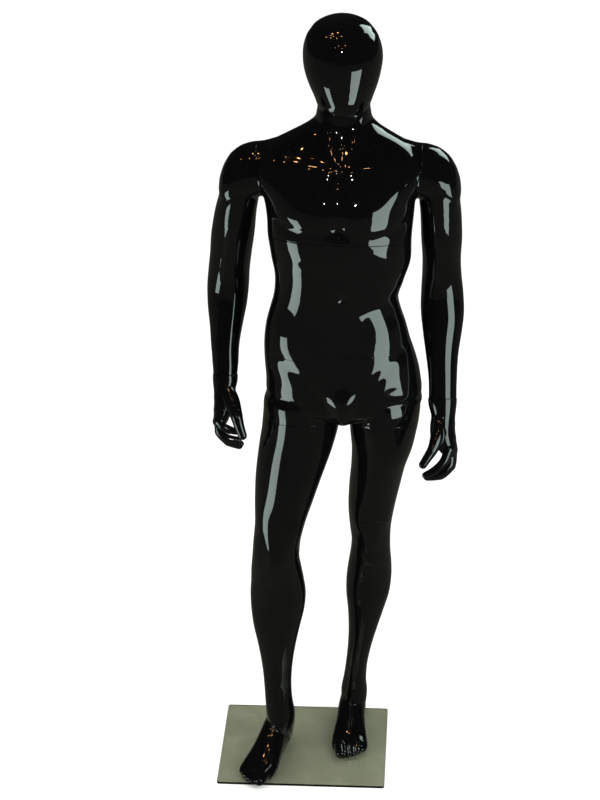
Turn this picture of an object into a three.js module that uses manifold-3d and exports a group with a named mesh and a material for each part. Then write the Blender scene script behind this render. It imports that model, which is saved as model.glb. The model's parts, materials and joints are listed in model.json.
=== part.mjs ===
// Full body mannequin: a glossy black display figure of hollow mouldings, taken apart at flat seams
// with twist-lock fittings, standing on a spigot in a clear glass base.
// Millimetres, +Z up. The origin is the centre of the glass base's underside, on the floor. The figure
// faces -Y, so +X is the figure's own left.
import * as THREE from 'three';
import { mergeVertices } from 'three/addons/utils/BufferGeometryUtils.js';
import Module from 'manifold-3d';

const wasm = await Module();
wasm.setup();

// ---------------------------------------------------------------- driving dimensions
const stature = 1832;              // sole to crown; every moulding scales with it
const drawnStature = 1832;         // the stature that the section tables below are drawn at

const glassWidth = 400;            // along X
const glassDepth = 330;            // along Y
const glassThickness = 6;
const glassCornerRadius = 4;

const wall = 5;                    // thickness of the mouldings
const bulkhead = 9;                // thickness of the end wall at each seam
const seamGap = 0.4;               // left between two mouldings at a seam
const fit = 0.3;                   // clearance between pieces that touch

const plateThickness = 4;          // steel socket plates of the locks
const flangeThickness = 3;         // steel flanges of the lock studs
const lockBarThickness = 5;
const screwRadius = 2.2;
const screwLength = 7;             // stays inside the ledge behind the socket plate

const spigotRadius = 6;
const spigotRise = 120;            // height of the spigot above its flange
const socketWall = 3;
const socketFlangeRadius = 19;
const baseFlangeRadius = 21;
const baseFlangeThickness = 4;
const gasketThickness = 1;
const baseScrewRadius = 4;
const baseScrewHeadRadius = 10;
const baseScrewHeadThickness = 2.4;
const bushingWall = 2.4;
const setScrewRadius = 3;

// ---------------------------------------------------------------- finishes
const finish = {
  gloss: new THREE.MeshStandardMaterial({ color: 0x0a0a0b, roughness: 0.06, metalness: 0 }),
  steel: new THREE.MeshStandardMaterial({ color: 0xb9bcc0, roughness: 0.3, metalness: 1 }),
  chrome: new THREE.MeshStandardMaterial({ color: 0xd8dade, roughness: 0.08, metalness: 1 }),
  glass: new THREE.MeshStandardMaterial({
    color: 0x9fb3a4, roughness: 0.03, metalness: 0, transparent: true, opacity: 0.45,
  }),
  rubber: new THREE.MeshStandardMaterial({ color: 0x1c1c1c, roughness: 0.8, metalness: 0 }),
  nylon: new THREE.MeshStandardMaterial({ color: 0xe6e4dc, roughness: 0.5, metalness: 0 }),
};

// ---------------------------------------------------------------- section tables
// A moulding is a loft through horizontal sections. Each row is
// [height above the soles, centre x, centre y, half width, depth in front, depth behind].
const torsoRows = [
  [1664, 97, 22, 56, 56, 56],      // neck, carried past its seam
  [1622, 97, 23, 58, 58, 58],
  [1600, 96, 24, 66, 62, 60],
  [1583, 93, 20, 86, 63, 68],      // trapezius
  [1565, 90, 15, 120, 67, 76],
  [1546, 88, 10, 156, 76, 85],
  [1525, 87, 5, 178, 86, 97],
  [1490, 87, 0, 184, 101, 109],
  [1434, 89, 0, 165, 119, 115],    // armpits
  [1395, 90, 0, 160, 125, 116],
  [1346, 89, 0, 157, 125, 112],
  [1295, 92, 0, 151, 116, 101],
  [1244, 88, 0, 142, 107, 89],
  [1200, 80, 0, 138, 101, 80],     // waist
  [1167, 79, 0, 146, 100, 78],
  [1140, 80, 0, 154, 101, 82],
  [1095, 83, 0, 163, 105, 96],
  [1051, 90, 0, 170, 108, 112],
  [1010, 96, 0, 174, 107, 126],    // hips
  [970, 98, 0, 176, 105, 132],
  [938, 96, 2, 166, 97, 122],
  [920, 97, 8, 110, 78, 96],
  [908, 98, 12, 52, 52, 66],       // crotch
];
const rightLegRows = [
  [1010, 22, 0, 66, 78, 96],
  [955, 2, 3, 84, 98, 116],
  [912, 2, 5, 88, 101, 114],
  [876, -2, 2, 87, 98, 102],
  [837, -10, -5, 85, 92, 92],
  [759, -28, -21, 76, 85, 83],
  [700, -39, -31, 67, 77, 75],
  [646, -48, -39, 58, 71, 67],
  [597, -56, -44, 54.5, 66, 61],
  [560, -59, -44, 54.5, 62, 59],   // knee
  [523, -58.5, -38, 58.5, 57, 62],
  [485, -57, -30, 62, 54, 69],
  [447, -56.5, -24, 65, 52.5, 72], // calf
  [404, -58, -20, 63, 50, 66],
  [357, -61, -17, 56, 47, 54],
  [300, -62, -12, 45.5, 43, 44],
  [230, -62.5, -6, 36, 37, 37],
  [165, -62, -1, 32.5, 37, 37],
  [120, -60, 2, 33, 42, 42],       // ankle
  [70, -56, 3, 33, 50, 45],
  [20, -55, 6, 26, 34, 34],
];
const leftLegRows = [
  [1010, 168, 0, 68, 78, 96],
  [955, 186, 3, 84, 98, 116],
  [905, 189, 5, 80, 101, 113],
  [865, 187, 5, 75, 96, 102],
  [826, 184.5, 8, 69.5, 91, 92],
  [781, 177, 14, 63, 85, 86],
  [720, 168, 23, 59, 77, 78],
  [650, 160, 34, 53.5, 69, 69],
  [596, 158, 41, 48, 63, 61],
  [560, 159, 46, 45.5, 59, 57],    // knee
  [525, 158, 52, 47, 57, 57],
  [485, 156.5, 61, 51, 55, 63],
  [440, 154, 70.5, 53.5, 52, 67],  // calf
  [395, 151, 77, 51.5, 50, 62],
  [345, 146.5, 85, 43.5, 46, 53],
  [283, 139, 94, 34.5, 41, 43],
  [215, 129.5, 104, 28, 37, 37],
  [160, 122.5, 113, 26.5, 37, 37],
  [120, 119, 118, 28, 40, 39],     // ankle
  [70, 117, 121, 31, 48, 42],
  [20, 117, 118, 26, 34, 30],
];
const rightArmRows = [
  [1469, -125, 20, 43, 57, 57],
  [1430, -132.5, 22, 45.5, 58, 58],
  [1390, -140, 29, 46, 56, 56],
  [1330, -149, 44, 48, 52.5, 52.5],
  [1270, -157, 62, 46.5, 50, 50],
  [1225, -163, 75, 46.5, 49, 49],
  [1185, -166.5, 82, 47, 48, 48],    // elbow
  [1145, -168, 75, 44, 47, 46],
  [1105, -170, 61, 38, 43, 42],
  [1055, -172.5, 40, 32, 35.5, 35.5],
  [1018, -171, 24, 29, 32, 32],
  [985, -172, 11, 27, 30, 30],
  [955, -173, -1, 27, 30, 30],     // carried past the wrist seam
];
const leftArmRows = [
  [1469, 303, 20, 43, 57, 57],
  [1430, 306, 20, 46, 58, 58],
  [1390, 308.5, 23, 45, 56, 56],
  [1330, 311, 32, 45, 51.5, 51.5],
  [1270, 312, 45, 42.5, 49, 49],
  [1230, 313, 52, 44, 48, 48],
  [1190, 314.5, 54, 47, 48, 48],   // elbow
  [1150, 315.5, 41, 48, 46, 45],
  [1110, 316, 22, 43.5, 42, 40],
  [1060, 317, -6, 36, 35, 35],
  [1020, 319, -27, 32, 31.5, 31.5],
  [970, 320, -48, 31, 31, 31],     // carried past the wrist seam
];
// The shoulders are lofted sideways. Each row is [distance from the chest's middle, centre height,
// half height, half depth]; both sides share it.
const shoulderMiddle = 88;
const shoulderDepthCentre = 20;
const shoulderRows = [
  [96, 1509, 57, 64],
  [130, 1501, 57, 65],
  [165, 1489, 59, 65],
  [195, 1481, 63, 64],
  [222, 1471, 61, 61],
  [244, 1456, 53, 53],
  [256, 1445, 39, 41],
  [263, 1438, 20, 22],
];
const headRows = [
  [1832, 94, 0, 24, 29, 32],
  [1822, 94, 0, 49, 57, 61],
  [1803, 94.5, 0, 69, 80, 84],
  [1777, 95, 0, 81, 94, 98],
  [1750, 96, 0, 84.5, 100, 103],
  [1722, 96, 0, 81.5, 102, 101],
  [1694, 97, 0, 74, 99, 93],
  [1668, 98, 0, 64, 94, 81],
  [1646, 98, 0, 56, 86, 72],       // seat on the neck
];
const armpitHeight = 1427;
const chin = { x: 96, y: -57, z: 1660, halfWidth: 41, halfDepth: 32, halfHeight: 26 };

// A foot is lofted from heel to toe. Each row is
// [distance in front of the ankle, shift towards the big toe, half width, height of the instep].
const footRows = [
  [-56, 0, 13, 30],
  [-48, 0, 23, 48],
  [-30, 0, 30.5, 70],
  [0, 0, 32.5, 86],
  [35, 1, 34, 80],
  [65, 1, 36, 65],
  [95, 1, 40, 51],
  [120, 0, 43, 41],
  [143, 0, 44, 33],
  [162, 2, 41, 27],
  [176, 7, 34, 24],
  [185, 10, 25, 20],
  [190, 13, 14, 13],
];
const rightFoot = { x: -67, y: 0, turn: -16, mirror: 1 };
const leftFoot = { x: 113, y: 122, turn: -1, mirror: -1 };

// A hand hangs from the middle of its wrist seam: u towards the thigh, v to the back, w up the forearm.
// Palm rows are [w, centre u, centre v, half thickness, depth in front, depth behind]. A finger's path
// lists [u, w] from the knuckle to the middle of its tip; a thumb's lists [u, v, w].
const rightHand = {
  palm: [
    [12, 0, 0, 28, 32, 32],
    [-14, 0, 0, 28, 32, 32],
    [-34, -1, 0, 25, 31, 31],
    [-55, 0, 0, 25, 35, 34],
    [-78, -3, -1, 22, 40, 38],
    [-96, -7, 0, 18.5, 41, 40],
    [-112, -11, 1, 15, 38, 38],
    [-120, -11.5, 2, 9, 32, 32],
  ],
  fingers: [
    { v: -31, radius: 8.2, path: [[-9, -104], [-2, -115], [12, -122], [29, -127]] },
    { v: -10.5, radius: 9, path: [[-12, -106], [-10, -130], [8, -145], [31, -149]] },
    { v: 10.5, radius: 8.8, path: [[-13, -106], [-13, -133], [5, -153], [35, -160]] },
    { v: 30, radius: 8.2, path: [[-13, -102], [-14, -130], [3, -157], [31, -168]] },
  ],
  thumb: {
    path: [[4, -14, -36], [17, -28, -58], [29, -40, -88], [36, -45, -111], [44, -44, -134]],
    radii: [17, 16, 12.5, 10.3, 8.8],
  },
};
const leftHand = {
  palm: [
    [12, 0, 0, 32.5, 36, 36],
    [-14, 0, 0, 31.5, 34, 34],
    [-40, -2, 0, 27, 33, 33],
    [-63, -1, 0, 28, 36, 35],
    [-91, -4, 0, 28, 40, 38],
    [-112, -12, 1, 23, 38, 37],
    [-128, -18, 2, 14, 31, 31],
  ],
  fingers: [
    { v: -31, radius: 8.6, path: [[-12, -112], [2, -134], [21, -154], [38, -168]] },
    { v: -10.5, radius: 9.2, path: [[-20, -114], [-17, -150], [4, -170], [31, -177]] },
    { v: 10.5, radius: 9, path: [[-24, -114], [-21, -151], [0, -173], [25, -179]] },
    { v: 30, radius: 8.4, path: [[-24, -110], [-22, -142], [-6, -164], [15, -173]] },
  ],
  thumb: {
    path: [[6, -18, -58], [12, -34, -90], [20, -41, -112], [31, -44, -130], [41, -45, -146]],
    radii: [15, 13, 10.5, 9, 8],
  },
};

const hollowSides = 8;

// ---------------------------------------------------------------- seams
// A seam is a flat cut. Its normal points to the piece that carries the stud; the socket plate is on
// the other side. barAngle is the turn that brings the stud's bar in line with the plate's slot, where it
// lets go. Lock sizes: plate and flange radius, stem radius, half length and half width of the bar.
const largeLock = { plate: 44, flange: 34, stem: 7, barHalf: 22, barHalfWidth: 5, screws: 2 };
const narrowLock = { ...largeLock, barHalfWidth: 3 };   // lets go after a short turn
const mediumLock = { plate: 31, flange: 25, stem: 6, barHalf: 16, barHalfWidth: 4.5, screws: 2 };
const smallLock = { plate: 17, flange: 15, stem: 4, barHalf: 9, barHalfWidth: 3, screws: 0 };

const seams = {
  neck: { at: [97, 22, 1646], normal: [0, 0, 1], lock: mediumLock, barAngle: 90 },
  waist: { at: [89, -6, 1346], normal: [0.03, 0.18, 1], lock: narrowLock, barAngle: 165 },
  hip: { at: [86, 0, 1070], normal: [-0.05, 0.16, 1], lock: largeLock, barAngle: 60 },
  thigh: { at: [-2, 2, 893], normal: [0, -0.28, -1], lock: largeLock, barAngle: 60 },
  knee: { at: [160, 33, 640], normal: [0, 0.05, 1], lock: mediumLock, barAngle: 120 },
  right_shoulder: { at: [-83, 20, 1491], normal: [-1, 0, -0.14], lock: mediumLock, barAngle: 105 },
  left_shoulder: { at: [259, 20, 1491], normal: [1, 0, -0.14], lock: mediumLock, barAngle: 75 },
  right_wrist: { at: [-171.5, 14, 994], normal: [0, -0.36, -1], lock: smallLock, barAngle: 90 },
  left_wrist: { at: [320, -44, 972], normal: [0, -0.42, -1], lock: smallLock, barAngle: 90 },
};

// ---------------------------------------------------------------- placing
const scale = stature / drawnStature;
const soleHeight = glassThickness + seamGap;   // the soles just clear the glass
const rise = (z) => soleHeight + z * scale;

for (const seam of Object.values(seams)) {
  const [x, y, z] = seam.at;
  seam.point = new THREE.Vector3(x * scale, y * scale, rise(z));
  seam.axis = new THREE.Vector3(...seam.normal).normalize();
}

// ---------------------------------------------------------------- solids
/** Merges the doubled vertices of a geometry, so that its faces close on each other. */
function welded(geometry) {
  for (const name of ['normal', 'uv']) geometry.deleteAttribute(name);
  return mergeVertices(geometry, 1e-4);
}

/** Turns a closed, welded geometry into a solid that can be joined and cut. */
function solidOf(geometry) {
  const vertProperties = new Float32Array(geometry.attributes.position.array);
  const triVerts = new Uint32Array(geometry.index.array);
  const solid = new wasm.Manifold(new wasm.Mesh({ numProp: 3, vertProperties, triVerts }));
  if (solid.isEmpty()) throw new Error('a geometry is not closed');
  if (solid.volume() > 0) return solid;
  const flipped = triVerts.slice();
  for (let i = 0; i < flipped.length; i += 3) [flipped[i], flipped[i + 1]] = [triVerts[i + 1], triVerts[i]];
  return new wasm.Manifold(new wasm.Mesh({ numProp: 3, vertProperties, triVerts: flipped }));
}

/** Turns a solid back into a geometry with flat faces. */
function geometryOf(solid) {
  const mesh = solid.getMesh();
  const geometry = new THREE.BufferGeometry();
  geometry.setAttribute('position', new THREE.BufferAttribute(new Float32Array(mesh.vertProperties), 3));
  geometry.setIndex(new THREE.BufferAttribute(new Uint32Array(mesh.triVerts), 1));
  geometry.computeVertexNormals();
  return geometry;
}

/** Joins a list of solids into one. */
const join = (solids) => solids.reduce((all, next) => all.add(next));

/** Skins a stack of equal rings and closes both ends. */
function skin(rings) {
  const sides = rings[0].length;
  const points = rings.flat();
  const faces = [];
  for (let i = 0; i + 1 < rings.length; i += 1) {
    for (let j = 0; j < sides; j += 1) {
      const a = i * sides + j;
      const b = i * sides + ((j + 1) % sides);
      faces.push(a, b, b + sides, a, b + sides, a + sides);
    }
  }
  for (const [ring, first] of [[rings[0], 0], [rings.at(-1), (rings.length - 1) * sides]]) {
    const middle = new THREE.Vector3();
    ring.forEach((point) => middle.addScaledVector(point, 1 / sides));
    const centre = points.push(middle) - 1;
    for (let j = 0; j < sides; j += 1) {
      const a = first + j;
      const b = first + ((j + 1) % sides);
      if (first === 0) faces.push(b, a, centre);
      else faces.push(a, b, centre);
    }
  }
  const geometry = new THREE.BufferGeometry();
  const numbers = points.flatMap((point) => point.toArray());
  geometry.setAttribute('position', new THREE.Float32BufferAttribute(numbers, 3));
  geometry.setIndex(faces);
  return geometry;
}

/** Raises the size of a sine or cosine to a power and keeps its sign; below 1 the section is squarer. */
const shaped = (value, power) => Math.sign(value) * Math.abs(value) ** power;

/** One horizontal ring: an ellipse with its own depth in front of and behind its centre. */
function ring(row, { sides, inset, power }) {
  const [z, x, y, halfWidth, front, back] = row;
  return Array.from({ length: sides }, (_, i) => {
    const angle = (2 * Math.PI * i) / sides;
    const depth = (Math.sin(angle) < 0 ? front : back) * scale - inset;
    return new THREE.Vector3(
      x * scale + (halfWidth * scale - inset) * shaped(Math.cos(angle), power),
      y * scale + depth * shaped(Math.sin(angle), power),
      rise(z),
    );
  });
}

/** Lofts a table of horizontal rows; inset draws the hollow inside it. */
function body(rows, { sides, inset = 0, power = 1 }) {
  return solidOf(skin(rows.map((row) => ring(row, { sides, inset, power }))));
}

/** The plain hollow of a limb: every second row of its table, drawn in by the wall and a little more. */
function limbHollow(rows) {
  const kept = rows.filter((_, i) => i % 2 === 0 || i === rows.length - 1);
  return body(kept, { sides: hollowSides, inset: wall + 2 });
}

/** Lofts a shoulder sideways; side is -1 on the figure's right and 1 on its left. */
function shoulder(side, { sides, inset = 0 }) {
  return solidOf(skin(shoulderRows.map(([out, z, halfHeight, halfDepth]) => (
    Array.from({ length: sides }, (_, i) => {
      const angle = (2 * Math.PI * i) / sides;
      return new THREE.Vector3(
        (shoulderMiddle + side * out) * scale - side * (out > 200 ? inset : 0),
        shoulderDepthCentre * scale + (halfDepth * scale - inset) * Math.cos(angle),
        rise(z) + (halfHeight * scale - inset) * Math.sin(angle),
      );
    })
  ))));
}

/** Lofts a foot from heel to toe with a flat sole. */
function foot({ x, y, turn, mirror }) {
  const sides = 12;
  const rings = footRows.map(([forward, shift, halfWidth, height]) => (
    Array.from({ length: sides }, (_, i) => {
      const angle = (2 * Math.PI * i) / sides;
      const middle = height * 0.4;
      const up = Math.sin(angle) > 0
        ? middle + (height - middle) * shaped(Math.sin(angle), 0.9)
        : Math.max(0, middle + middle * 1.08 * shaped(Math.sin(angle), 0.4));
      return new THREE.Vector3(mirror * shift + halfWidth * Math.cos(angle), -forward, up);
    })
  ));
  const geometry = skin(rings);
  geometry.rotateZ(THREE.MathUtils.degToRad(turn));
  geometry.translate(x, y, 0);
  geometry.scale(scale, scale, scale);
  geometry.translate(0, 0, soleHeight);
  return solidOf(geometry);
}

/** A tapered limb through points with a radius at each, with rounded ends. */
function taperedLimb(points, radii, sides) {
  const path = points.map((point) => new THREE.Vector3(...point));
  const tangents = path.map((point, i) => (
    path[Math.min(i + 1, path.length - 1)].clone().sub(path[Math.max(i - 1, 0)]).normalize()
  ));
  const tipRings = [[0.92, 0.4], [0.55, 0.84]];   // how far past the end, and the radius left there
  const stops = path.map((point, i) => ({ point, tangent: tangents[i], radius: radii[i] }));
  const end = stops.at(-1);
  for (const [past, left] of [...tipRings].reverse()) {
    stops.push({
      point: end.point.clone().addScaledVector(end.tangent, end.radius * past),
      tangent: end.tangent,
      radius: end.radius * left,
    });
  }
  const across = new THREE.Vector3(0, 1, 0);
  return solidOf(skin(stops.map(({ point, tangent, radius }) => {
    const side = new THREE.Vector3().crossVectors(tangent, across).normalize();
    const other = new THREE.Vector3().crossVectors(side, tangent).normalize();
    return Array.from({ length: sides }, (_, i) => {
      const angle = (2 * Math.PI * i) / sides;
      return point.clone()
        .addScaledVector(side, radius * Math.cos(angle))
        .addScaledVector(other, radius * Math.sin(angle));
    });
  })));
}

/** Places a solid drawn about a seam's middle, with the seam's normal as its z. */
function onSeam(geometry, seam) {
  const turn = new THREE.Quaternion().setFromUnitVectors(new THREE.Vector3(0, 0, 1), seam.axis);
  const placed = geometry.clone();
  placed.applyQuaternion(turn);
  placed.translate(seam.point.x, seam.point.y, seam.point.z);
  return placed;
}

/** A box far larger than the figure that fills one side of a seam, moved along its normal. */
function side(seam, sign, offset) {
  const reach = 2.4 * stature;
  const block = welded(new THREE.BoxGeometry(reach, reach, reach));
  block.translate(0, 0, sign * (reach / 2) + offset);
  return solidOf(onSeam(block, seam));
}

/** A round bar along a seam's normal, from one height to another. */
function bar(seam, radius, from, to, sides = 10) {
  const cylinder = welded(new THREE.CylinderGeometry(radius, radius, to - from, sides));
  cylinder.rotateX(Math.PI / 2);
  cylinder.translate(0, 0, (from + to) / 2);
  return solidOf(onSeam(cylinder, seam));
}

/** An upright round bar at a place, from one height to another. */
function upright(x, y, radius, from, to, sides = 12) {
  const cylinder = welded(new THREE.CylinderGeometry(radius, radius, to - from, sides));
  cylinder.rotateX(Math.PI / 2);
  cylinder.translate(x, y, (from + to) / 2);
  return solidOf(cylinder);
}

/** A box block drawn about a seam's middle, turned about its normal. */
function block(seam, [lengthX, lengthY], from, to, degrees) {
  const box = welded(new THREE.BoxGeometry(lengthX, lengthY, to - from));
  box.translate(0, 0, (from + to) / 2);
  box.rotateZ(THREE.MathUtils.degToRad(degrees));
  return solidOf(onSeam(box, seam));
}

// ---------------------------------------------------------------- lock fittings
const half = seamGap / 2;

const stemSides = 16;
/** How much closer the flats of a many-sided round are than its corners. */
const roundness = (sides) => Math.cos(Math.PI / sides);

/** The places of a plate's screws, as turns about the seam's normal. */
const screwTurns = (lock) => Array.from({ length: lock.screws }, (_, i) => 45 + (360 / lock.screws) * i);

/** A countersunk screw whose head is flush with the face of the socket plate. */
function plateScrew(seam, degrees, clearance) {
  const head = screwRadius * 2 + clearance;
  const shank = screwRadius + clearance;
  const tip = -screwLength - clearance;
  const mouth = clearance > 0 ? [[0, 1], [head, 1]] : [[0, 0]];   // a hole is cut from above the plate
  const profile = [...mouth, [head, 0], [shank, -screwRadius * 0.9], [shank, tip], [0, tip]]
    .map(([r, z]) => new THREE.Vector2(r, z));
  const screw = welded(new THREE.LatheGeometry(profile.reverse(), 6));
  screw.rotateX(Math.PI / 2);
  screw.translate((seam.lock.plate + seam.lock.flange * 0.72) / 2, 0, -half);
  screw.rotateZ(THREE.MathUtils.degToRad(degrees));
  return solidOf(onSeam(screw, seam));
}

/** The socket plate: a steel disc with a slot that passes the stud's bar. */
function socketPlate(seam) {
  const { plate, stem, barHalf, barHalfWidth } = seam.lock;
  const top = -half;
  const bottom = top - plateThickness;
  return bar(seam, plate, bottom, top, 18).subtract(join([
    bar(seam, (stem + fit) / roundness(stemSides), bottom - 1, top + 1, stemSides),
    block(seam, [2 * (barHalf + fit), 2 * (barHalfWidth + fit)], bottom - 1, top + 1, 0),
    ...screwHoles(seam),
  ]));
}

/** The clearance holes for a plate's screws. */
function screwHoles(seam) {
  return screwTurns(seam.lock).map((turn) => plateScrew(seam, turn, fit));
}

/** The stud: a flange, a stem and a bar that turns behind the socket plate. */
function lockStud(seam) {
  const { flange, stem, barHalf, barHalfWidth } = seam.lock;
  const barTop = -half - plateThickness - fit;
  const barBottom = barTop - lockBarThickness;
  return join([
    bar(seam, flange, half, half + flangeThickness, 16),
    bar(seam, stem, barBottom, half + 1, stemSides),
    block(seam, [2 * barHalf, 2 * barHalfWidth], barBottom, barTop, seam.barAngle),
  ]);
}

/** What the socket side of a seam loses: a recess for the plate and a well for the stud's bar. */
function socketCut(seam) {
  const { plate } = seam.lock;
  return join([
    bar(seam, plate + fit, -half - plateThickness - fit, 1, 18),
    bar(seam, seam.lock.barHalf + 2.5, -half - bulkhead - 6, 0),
    ...screwHoles(seam),
  ]);
}

/** What the stud side of a seam loses: a recess for the flange and an opening behind it. */
function studCut(seam) {
  const { flange } = seam.lock;
  return join([
    bar(seam, flange + fit, -1, half + flangeThickness + fit, 16),
    bar(seam, flange * 0.6, 0, half + bulkhead + 6),
  ]);
}

// ---------------------------------------------------------------- the whole figure, before it is cut
const torsoSides = 20;
const legSides = 14;
const armSides = 12;

const outerTorso = body(torsoRows, { sides: torsoSides, power: 0.9 });
const innerTorso = body(torsoRows, { sides: 10, inset: wall, power: 0.9 });
const shoulders = { right: -1, left: 1 };
const outerShoulder = {};
const innerShoulder = {};
for (const [name, sign] of Object.entries(shoulders)) {
  outerShoulder[name] = shoulder(sign, { sides: 12 });
  innerShoulder[name] = shoulder(sign, { sides: hollowSides, inset: wall });
}
const outerArm = {
  right: body(rightArmRows, { sides: armSides }),
  left: body(leftArmRows, { sides: armSides }),
};
const innerArm = {
  right: limbHollow(rightArmRows),
  left: limbHollow(leftArmRows),
};
const outerLeg = {
  right: join([body(rightLegRows, { sides: legSides }), foot(rightFoot)]),
  left: join([body(leftLegRows, { sides: legSides }), foot(leftFoot)]),
};
const innerLeg = {
  right: limbHollow(rightLegRows),
  left: limbHollow(leftLegRows),
};

/** Half of space: all that lies above (sign 1) or below (sign -1) a height of the drawing. */
function level(z, sign) {
  const reach = 2.4 * stature;
  const space = welded(new THREE.BoxGeometry(reach, reach, reach));
  space.translate(0, 0, rise(z) + (sign * reach) / 2);
  return solidOf(space);
}

// Each arm parts from the chest on its shoulder seam above the armpit, and hangs free below it.
const aboveArmpit = level(armpitHeight, 1);
const armSide = (seam, offset) => side(seam, 1, offset).intersect(aboveArmpit);

/** The body of one arm with its share of the shoulder, cut at the shoulder seam. */
function armBody(name, torso, shoulders, arms, offset) {
  const outside = armSide(seams[`${name}_shoulder`], offset);
  const cap = join([torso, shoulders[name], arms[name]]).intersect(outside);
  return join([cap, arms[name].intersect(level(armpitHeight + 3, -1))]);
}

/** The chest with both shoulders, up to the shoulder seams. */
function chestBody(torso, shoulders, arms, offset) {
  const overhang = join([shoulders.right, shoulders.left, arms.right, arms.left]).intersect(aboveArmpit);
  return join([torso, overhang])
    .subtract(armSide(seams.right_shoulder, -offset))
    .subtract(armSide(seams.left_shoulder, -offset));
}

/**
 * Cuts one moulding out of a body. edges lists [seam, which side of it the moulding lies on];
 * ready lists the seams that the body is already cut at, in the same way.
 */
function moulding(outer, hollow, edges, ready = []) {
  let shell = outer;
  let inside = hollow;
  for (const [seam, sign] of edges) {
    shell = shell.intersect(side(seam, sign, sign * half));
    inside = inside.intersect(side(seam, sign, sign * (half + bulkhead)));
  }
  shell = shell.subtract(inside);
  for (const [seam, sign] of [...edges, ...ready]) {
    shell = shell.subtract(sign > 0 ? studCut(seam) : socketCut(seam));
  }
  return largest(shell);
}

/** Keeps the biggest of a solid's separate pieces. */
function largest(solid) {
  return solid.decompose().sort((a, b) => b.volume() - a.volume())[0];
}

// ---------------------------------------------------------------- head
const neckReach = 61 * scale;
/** The egg-shaped head, with a chin that hangs in front of the neck. */
function headShell() {
  const egg = (inset, sides) => {
    const point = welded(new THREE.SphereGeometry(1, 10, 6));
    point.rotateX(Math.PI / 2);
    const radii = [chin.halfWidth, chin.halfDepth, chin.halfHeight];
    point.scale(...radii.map((radius) => radius * scale - inset));
    point.translate(chin.x * scale, chin.y * scale, rise(chin.z));
    return join([body(headRows, { sides, inset }), solidOf(point)]);
  };
  const { x, y, z } = seams.neck.point;
  const clearNeck = upright(x, y, neckReach, z - 60, z + half, 20);
  const inside = body(headRows, { sides: 10, inset: wall }).intersect(side(seams.neck, 1, half + bulkhead));
  return egg(0, 18).subtract(clearNeck).subtract(inside).subtract(studCut(seams.neck));
}

// ---------------------------------------------------------------- hands
/** A relaxed hand on its wrist seam; mirror is 1 for the figure's right hand and -1 for its left. */
function handShell(seam, hand, mirror) {
  const palmSides = 12;
  const palm = solidOf(skin(hand.palm.map(([w, u, v, halfThickness, front, back]) => (
    Array.from({ length: palmSides }, (_, i) => {
      const angle = (2 * Math.PI * i) / palmSides;
      return new THREE.Vector3(
        u + halfThickness * Math.cos(angle),
        v + (Math.sin(angle) < 0 ? front : back) * Math.sin(angle),
        w,
      );
    })
  ))));
  const digits = hand.fingers.map(({ v, radius, path }) => taperedLimb(
    path.map(([u, w]) => [u, v, w]),
    [radius, radius * 0.97, radius * 0.9, radius * 0.78],
    8,
  ));
  const whole = join([palm, ...digits, taperedLimb(hand.thumb.path, hand.thumb.radii, 8)]);
  const geometry = geometryOf(whole);
  geometry.scale(mirror * scale, scale, scale);
  const turn = new THREE.Quaternion().setFromUnitVectors(new THREE.Vector3(0, 0, -1), seam.axis);
  geometry.applyQuaternion(turn);
  geometry.translate(seam.point.x, seam.point.y, seam.point.z);
  return largest(solidOf(geometry).intersect(side(seam, 1, half)).subtract(studCut(seam)));
}

// ---------------------------------------------------------------- foot spigot, its socket and the glass
const spigot = { x: leftFoot.x * scale, y: (leftFoot.y - 12) * scale };
const gasketBottom = glassThickness + fit;
const flangeBottom = gasketBottom + gasketThickness + fit;
const flangeTop = flangeBottom + baseFlangeThickness;
const spigotBottom = flangeTop + fit;
const spigotTop = spigotBottom + spigotRise;
const socketBottom = flangeTop + fit;
const socketFlangeTop = socketBottom + 3;
const socketInner = spigotRadius + fit;
const socketOuter = socketInner + socketWall;
const soleRecess = Math.max(baseFlangeRadius, socketFlangeRadius) + 2 * fit;
const setScrewHeight = socketFlangeTop + 45;
const bushingInner = baseScrewRadius + fit;
const bushingOuter = bushingInner + bushingWall;

/** The hole that the grub screw and its key pass through, from the socket out of the heel. */
function keyway(radius, from, to) {
  const cylinder = welded(new THREE.CylinderGeometry(radius, radius, to - from, 12));
  cylinder.translate(spigot.x, spigot.y + (from + to) / 2, setScrewHeight);
  return solidOf(cylinder);
}

/** The left lower leg and foot, with the bore for the socket in its sole. */
function lowerLegShell() {
  const shell = moulding(outerLeg.left, innerLeg.left.intersect(aboveSole()), [[seams.knee, -1]]);
  const { x, y } = spigot;
  const ankleWell = upright(x, y, socketOuter + 4, socketFlangeTop + 8, rise(110));
  return shell
    .subtract(upright(x, y, soleRecess, 0, socketFlangeTop + fit, 20))
    .subtract(upright(x, y, socketOuter + fit, 0, rise(110)))
    .subtract(ankleWell)
    .subtract(keyway(setScrewRadius + 1.5, socketOuter, 120));
}

/** The space above the thick sole, where the leg is hollow. */
function aboveSole() {
  const reach = 2.4 * stature;
  const space = welded(new THREE.BoxGeometry(reach, reach, reach));
  space.translate(0, 0, reach / 2 + socketFlangeTop + 10);
  return solidOf(space);
}

/** The steel tube in the foot that drops over the spigot. */
function footSocket() {
  const { x, y } = spigot;
  return join([
    upright(x, y, socketFlangeRadius, socketBottom, socketFlangeTop, 16),
    upright(x, y, socketOuter, socketFlangeTop - 1, spigotTop + 4),
  ])
    .subtract(upright(x, y, socketInner, 0, spigotTop + 10))
    .subtract(keyway(setScrewRadius + fit, 0, socketOuter + 3));
}

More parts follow.
